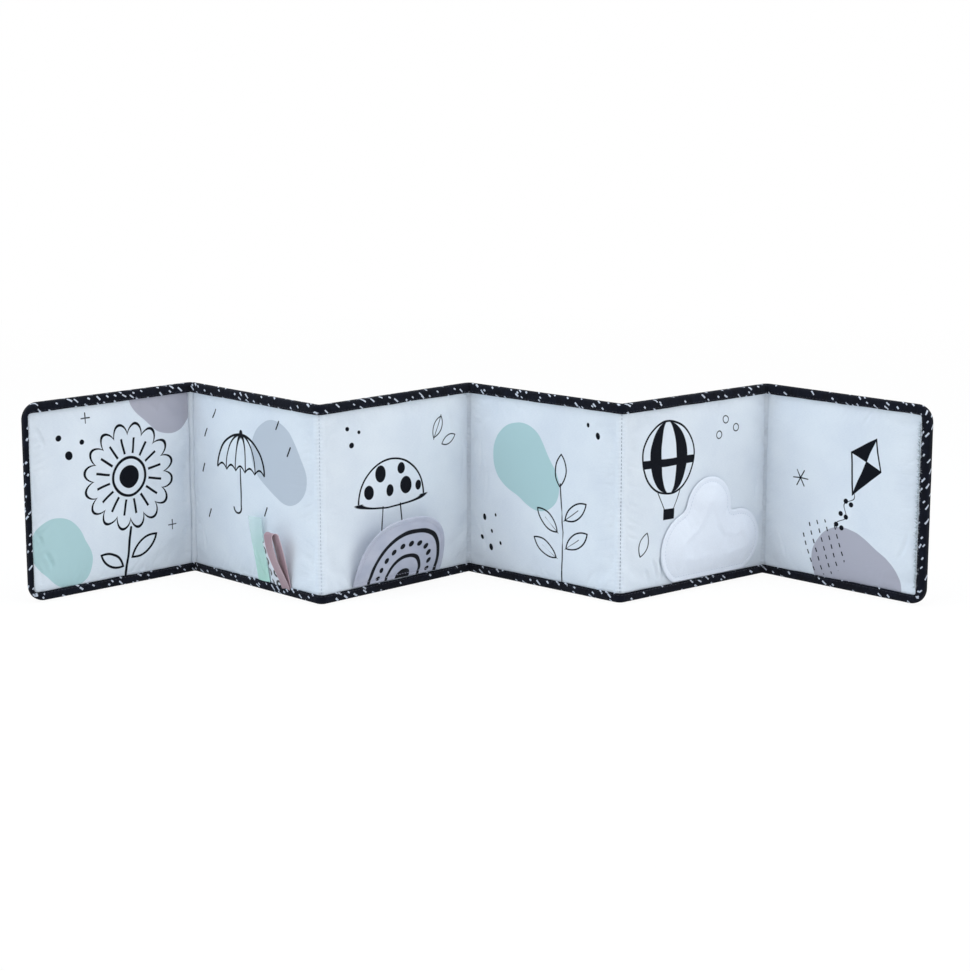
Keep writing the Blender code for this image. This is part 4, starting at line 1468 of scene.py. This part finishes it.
ribbonShape = {
    "mint": ribbonSizes(0.0948, 0.0150, 0.0560, 0.0045, 6.0, 0.0010),
    "printed": ribbonSizes(0.1118, 0.0100, 0.0370, 0.0075, -4.0, 0.0),
    "mauve": ribbonSizes(0.1242, 0.0100, 0.0450, 0.0120, 0.0, 0.0),
}
ribbonThickness = 0.0005
loopShape = {
    "foot": 0.0011,  # between its two legs
    "gap": 0.0037,  # at the top
    "belly": 0.0036,
    "sway": 0.0052,  # of the near leg, sideways at its top
    "roundness": 1.15,
}
mintPinch = {  # (across, up) in shares of the ribbon
    "from": (-0.95, 0.62),
    "to": (0.75, 0.02),
    "depth": 0.0013,
    "half": 0.0011,
}


ribbonRoot = 0.0020  # how far a ribbon reaches below the tape's edge


def ribbonPath(settings, steps):
    # (sideways, away from the middle, height) up the ribbon
    index, base = 1, bookShape["tapeLeg"] - ribbonRoot
    path = []
    for n in range(steps + 1):
        share = n / steps
        height = base + (settings["height"] + ribbonRoot) * share
        sides = (settings["centre"] - settings["width"] / 2, settings["centre"] + settings["width"] / 2)
        cover = max(coverDepth(index, x, max(height, 0.0083)) for x in sides)
        away = cover + 0.0008 + settings["reach"] * share**1.25
        sway = settings["sway"] * math.sin(share * 5.0)
        path.append(Vector((sway * 0.6, -away, height)))
    return path


def pinchAt(settings, across, up):
    # how far the slanting pinch presses the ribbon in at one spot, both given as shares
    spot = Vector((across * settings["width"] / 2, up * settings["height"]))
    start, end = (Vector((share * settings["width"] / 2, rise * settings["height"]))
                  for share, rise in (mintPinch["from"], mintPinch["to"]))
    run = end - start
    along = min(max((spot - start).dot(run) / run.length_squared, 0.0), 1.0)
    away = (spot - start - run * along).length / mintPinch["half"]
    return mintPinch["depth"] * smooth(along * 2.5) * smooth((up - 0.10) * 8) * math.exp(-(away**2))


def ribbonPiece(name, path, settings, finish, columns, pinched):
    width, half = settings["width"], ribbonThickness / 2
    verts, uvs = [], []
    reached = 0.0
    for n, point in enumerate(path):
        before, after = path[max(n - 1, 0)], path[min(n + 1, len(path) - 1)]
        if n:
            reached += (point - path[n - 1]).length
        along = (after - before).normalized()
        turn = Matrix.Rotation(math.radians(settings["twist"]) * n / len(path), 3, along)
        across = turn @ Vector((1, 0, 0))
        out = along.cross(across).normalized()
        shares = [m / columns * 2 - 1 for m in range(columns + 1)]
        ring = [(share, -half) for share in shares] + [(share, half) for share in reversed(shares)]
        for share, lift in ring:
            cup = 0.0004 * (1 - share * share)
            press = pinchAt(settings, share, n / (len(path) - 1)) if pinched else 0.0
            place = point + across * (share * width / 2) + out * (lift - cup) - Vector((0, press, 0))
            verts.append(place + Vector((settings["centre"], 0, 0)))
            uvs.append((share * width / 2, reached))
    count = 2 * (columns + 1)
    faces = ringFaces(count, len(path))
    for row in (0, len(path) - 1):
        for m in range(columns):
            ring = [row * count + k for k in (m, m + 1, count - 2 - m, count - 1 - m)]
            faces.append(ring if row == 0 else ring[::-1])
    item = newPiece(name, verts, faces, [finish], "ribbonPlace", uvs, 40)
    turnOut(item)
    settle(item, panelFrames[1])
    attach(item, "panel_2")
    return item, reached


def loopPath(near):
    # up the given path, over a round top and down beside it
    foot, far = loopShape["foot"], []
    for n, point in enumerate(near):
        share = n / (len(near) - 1)
        bowed = math.sin(math.pi / 2 * share)
        apart = foot + (loopShape["gap"] - foot) * bowed
        apart += loopShape["belly"] * share * math.sin(math.pi * share)
        far.append(point - Vector((0, apart, 0)))
        point.x += loopShape["sway"] * bowed
    top, half = (near[-1] + far[-1]) / 2, (near[-1] - far[-1]) / 2
    bend = []
    for n in range(1, 8):
        angle = math.pi * n / 8
        rise = math.sin(angle) * half.length * loopShape["roundness"]
        bend.append(top + half * math.cos(angle) + Vector((0, 0, rise)))
    return [*near, *bend, *reversed(far)]


def makeRibbons(finishes):
    for name, settings in ribbonShape.items():
        pinched, looped = name == "mint", name == "mauve"
        steps, columns = (60, 28) if pinched else (18, 8)
        path = ribbonPath(settings, steps)
        path = loopPath(path) if looped else path
        title = f"{name}_loop_tag" if looped else f"{name}_tag"
        item, length = ribbonPiece(title, path, settings, finishes[name], columns, pinched)
        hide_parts(f"{name}_ribbon")


def satinMaterial(name, colour, edge, marks=False, alpha=1.0):
    # fine ribs across, and at both sides a paler selvedge that is partly a painted highlight where the edges
    # catch the light
    board = Board(name)
    place = board.place("ribbonPlace")
    across, along = board.parts(place)
    ribs = (along * (2 * math.pi / 0.0005)).sine()
    streaks = board.noise(board.stretched(place, 6.0, 0.6), 180.0, 2.0)
    tone = board.mix(streaks, colour, darker(colour, 0.86))
    # the paler edge colour is partly real selvedge and partly a painted highlight along the edges
    tone = board.mix((abs(across) - edge[0]).times(2600.0), tone, edge[1])
    if marks:
        cell = board.vector("DIVIDE", board.vector("ADD", place, (0.0010, 0.0020, 0)), (0.0092, 0.0100, 1.0))
        spot = board.vector("LENGTH", board.atCell(cell), output=1)
        tone = board.mix(abs(spot - 0.26).times(-16.0, 2.3), tone, colours["ink"])
    others = {}
    if alpha < 1.0:
        # thinner and paler towards the top
        low = (along * -19.0).math("ADD", 1.0, clamp=True)
        side = across.times(60.0, 0.5)
        others["Alpha"] = (low * 0.46 + side * 0.10).math("ADD", alpha, clamp=True)
        tone = board.mix(low, paint(214, 238, 238), tone)
    normal = board.bump(streaks, 0.0003, 0.5, board.bump(ribs, 0.00003, 0.6))
    return board.finish(tone, 0.42, normal, 0.4, 0.25, **others)


def softRays(board):
    # 1 for the rays of the camera, of a gloss and through a see-through surface
    keys = [f"Is {kind} Ray" for kind in ("Camera", "Glossy", "Transmission")]
    rays = board.outputs("ShaderNodeLightPath", keys)
    return (rays[0] + rays[1]).math("ADD", rays[2], clamp=True)


def diffuse(board, level):
    return board.node("ShaderNodeBsdfDiffuse", {}, {"Color": (level, level, level, 1.0)})


def makeFloor():
    board = Board("paleFloor")
    plain = board.node("ShaderNodeEmission", {}, {"Color": (1, 1, 1, 1), "Strength": 1.0})
    place = board.node("ShaderNodeTexCoord", {}, output="Object")
    far = board.vector("LENGTH", place, output=1).times(0.8, -0.5)
    share = far * (1 - stageLight["floorShare"]) + stageLight["floorShare"]
    shown = board.node("ShaderNodeMixShader", {}, [share, diffuse(board, 0.97), plain])
    dull = diffuse(board, stageLight["floorBounce"])
    both = board.node("ShaderNodeMixShader", {}, [softRays(board), dull, shown])
    board.node("ShaderNodeOutputMaterial", {}, {"Surface": both})
    mesh = bpy.data.meshes.new("floor")
    reach, level = 40.0, -0.0005
    corners = [(x * reach, y * reach, level) for x, y in ((-1, -1), (1, -1), (1, 1), (-1, 1))]
    mesh.from_pydata(corners, [], [(0, 1, 2, 3)])
    mesh.materials.append(board.material)
    placed("floor", mesh)


def placed(name, data, place=(0, 0, 0), turn=(0, 0, 0)):
    item = bpy.data.objects.new(name, data)
    bpy.context.scene.collection.objects.link(item)
    item.location, item.rotation_euler = place, turn
    return item


def makeStage():
    scene = bpy.context.scene
    scene.view_settings.view_transform = "Standard"
    scene.world = bpy.data.worlds.new("softRoom")
    board = Board("softRoom", scene.world)
    shades = ((stageLight["tint"], stageLight["ambient"]), ((1, 1, 1, 1), 1.0))
    ambient, white = (board.node("ShaderNodeBackground", {}, [tint, strength]) for tint, strength in shades)
    room = board.node("ShaderNodeMixShader", {}, [softRays(board), ambient, white])
    board.node("ShaderNodeOutputWorld", {}, [room])
    makeFloor()

    for name, place, size, power, colour in stageLight["lamps"]:
        lamp = bpy.data.lights.new(name, "AREA")
        lamp.shape = "RECTANGLE"
        lamp.size, lamp.size_y = size
        lamp.energy = power
        lamp.color = colour
        towards = Vector((0, 0, 0.07)) - Vector(place)
        placed(name, lamp, place, towards.to_track_quat("-Z", "Y").to_euler())

    camera = bpy.data.cameras.new("camera")
    camera.lens, camera.sensor_width = cameraView["lens"], 36.0
    tilt, far = math.radians(cameraView["tilt"]), cameraView["distance"]
    place = Vector(cameraView["aim"]) + Vector((0, -math.cos(tilt) * far, math.sin(tilt) * far))
    scene.camera = placed("camera", camera, place, (math.radians(90) - tilt, 0, 0))


cameraView = {"lens": 87.57, "aim": (0.00725, 0.05469, 0.07644), "tilt": 11.34, "distance": 2.027}
stageLight = {
    "ambient": 0.40,
    "tint": (1.0, 1.0, 1.0, 1.0),
    "floorShare": 0.93,
    "floorBounce": 0.80,
    "lamps": (
        ("topLamp", (0.0, -0.3, 2.2), (3.0, 2.0), 40.7, (0.92, 0.96, 1.0)),
        ("leftLamp", (-2.2, -1.0, 1.2), (1.4, 1.4), 18.1, (0.67, 0.85, 1.0)),
        ("rightLamp", (2.2, -1.0, 1.2), (1.4, 1.4), 16.0, (0.90, 0.96, 1.0)),
    ),
}

makeStage()
print("stage and camera made")

threadShades = {
    "foldThread": (122, 130, 150),
    "paleThread": (178, 188, 202),
    "tapeThread": (24, 25, 38),
    "archThread": (180, 182, 200),
    "cloudThread": (205, 216, 232),
}
finishes = {
    "front": [clothMaterial(f"printedCotton{index + 1}", index) for index in range(panelCount)],
    "back": clothMaterial("backCotton"),
    "fold": foldMaterial("foldCotton"),
    "tape": tapeMaterial("dashedTape"),
    "fibre": plainMaterial("looseFibre", paint(236, 242, 248), 0.8, varied=0.35),
    # the inward fringe fibres, darkened as painted shade beside the tape's edge
    "paintedShadeFibre": plainMaterial("paintedShadeFringe", paint(176, 190, 198), 0.9, varied=0.6),
    "archFront": archMaterial("printedArch"),
    "archBack": plainMaterial("archBackCotton", colours["arch"], 0.85),
    "cloud": plainMaterial("cloudPlush", colours["cloud"], 0.9, 0.0003, 900.0, 0.4, 0.15, 0.05),
    "mint": satinMaterial("mintSatin", paint(190, 242, 226), (0.0068, paint(202, 244, 232)), alpha=0.42),
    "printed": satinMaterial(
        "printedSatin", paint(228, 234, 242), (0.0060, paint(240, 244, 250)), marks=True
    ),
    "mauve": satinMaterial("mauveSatin", paint(168, 138, 147), (0.0044, paint(204, 178, 186))),
}
for name, shade in threadShades.items():
    finishes[name] = plainMaterial(name, paint(*shade), 0.6)
print("materials made")

covers = [makeCover(index, finishes) for index in range(panelCount)]
puff(covers, panelPuff)
for index, cover in enumerate(covers):
    holdDepth(cover, index)
    subdivide(cover)
    gather(cover, index)
    settle(cover, panelFrames[index])
    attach(cover, f"panel_{index + 1}")
    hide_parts(*(f"panel_{index + 1}_{layer}" for layer in ("front_cloth", "back_cloth", "pad")))
print("covers made")

for fold in range(panelCount - 1):
    makeFold(fold, finishes)
print("folds made")

reached = 0.0
for fold in range(panelCount - 1):
    reached = makeFoldTape(fold, True, reached, finishes)
reached = makeEndTape(panelCount - 1, reached, finishes)
for fold in reversed(range(panelCount - 1)):
    reached = makeFoldTape(fold, False, reached, finishes)
makeEndTape(0, reached, finishes)
for index in (0, panelCount - 1):
    makeFringe(index, finishes)
print("tape made")


def archHalf(gap, side):
    rise = smooth(gap / 0.0009) ** 0.5 * archShape["edgeHalf"]
    dip = 0.00030 * math.exp(-((gap - archShape["hem"]) / 0.0009) ** 2)
    full = archShape["fullHalf"] - archShape["edgeHalf"]
    return rise - dip + full * smooth((gap - archShape["hem"]) / 0.004)


def cloudHalf(gap, side):
    rise = smooth(gap / 0.0012) ** 0.5 * cloudShape["edgeHalf"]
    dip = 0.00020 * math.exp(-((gap - cloudShape["hem"]) / 0.0010) ** 2)
    full = cloudShape["frontHalf" if side < 0 else "backHalf"] - cloudShape["edgeHalf"]
    return rise - dip + full * smooth((gap - cloudShape["hem"] * 0.7) / 0.018)


def cloudRest(x, z):
    # where the flap touches the panel behind it
    local = panelFrames[4].inverted() @ foldPlaces["cloud_flap_hinge"]
    return -(coverDepth(4, x, z + local.z) + coverShape["slack"] + cloudShape["seat"]) - local.y


cloudRim = rounded(cloudOutline(), 4)


def cloudMiddle(x, z):
    gap = rimDistance([Vector((x, z))], cloudRim)[0]
    return min(cloudRest(x, z) - max(cloudHalf(gap, 1), 0.0004), 0.0)


flaps = {
    "arch": {
        "rim": archOutline(), "shape": archShape, "panel": 2, "middle": lambda x, z: 0.0, "half": archHalf,
        "name": "arch_flap_cloths", "cloths": ("archFront", "archBack"), "filling": "crackle_film",
        "stitchLift": archShape["edgeHalf"] - 0.00012,
    },
    "cloud": {
        "rim": cloudRim, "shape": cloudShape, "panel": 4, "middle": cloudMiddle, "half": cloudHalf,
        "name": "cloud_flap_cushion", "cloths": ("cloud", "cloud"), "filling": "wadding",
        "stitchLift": 0.00062,
    },
}
for name, flap in flaps.items():
    cloths = [finishes[cloth] for cloth in flap["cloths"]]
    flap["item"] = makeFlap(flap["name"], flap["rim"], flap["shape"], flap["middle"], flap["half"], cloths)
    lean = flap["shape"].get("lean", 0.0)
    flap["frame"] = flapFrame(f"{name}_flap_hinge", bookShape["headings"][flap["panel"]], lean)
arch, cloud = flaps["arch"]["item"], flaps["cloud"]["item"]
puff([cloud], cloudPuff)
for vert in cloud.data.vertices:
    vert.co.y = min(vert.co.y, max(cloudRest(vert.co.x, vert.co.z), 0.0002 if vert.co.z < 0.004 else -1.0))
for name, flap in flaps.items():
    subdivide(flap["item"])
    settle(flap["item"], flap["frame"])
    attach(flap["item"], f"{name}_flap")
    layers = ("front_cloth", "back_cloth", flap["filling"])
    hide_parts(*(f"{name}_flap_{layer}" for layer in layers))

for name, flap in flaps.items():
    sewing = (flap["rim"], flap["shape"]["hem"], flap["middle"])
    lines = [hemRow(*sewing, side * flap["stitchLift"]) for side in (-1, 1)]
    stitches = sewRow(f"{name}_flap_stitches", lines, hemStitch, finishes[f"{name}Thread"])
    settle(stitches, flap["frame"])
    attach(stitches, f"{name}_flap")
print("flaps made")

makeRibbons(finishes)
print("tags made")
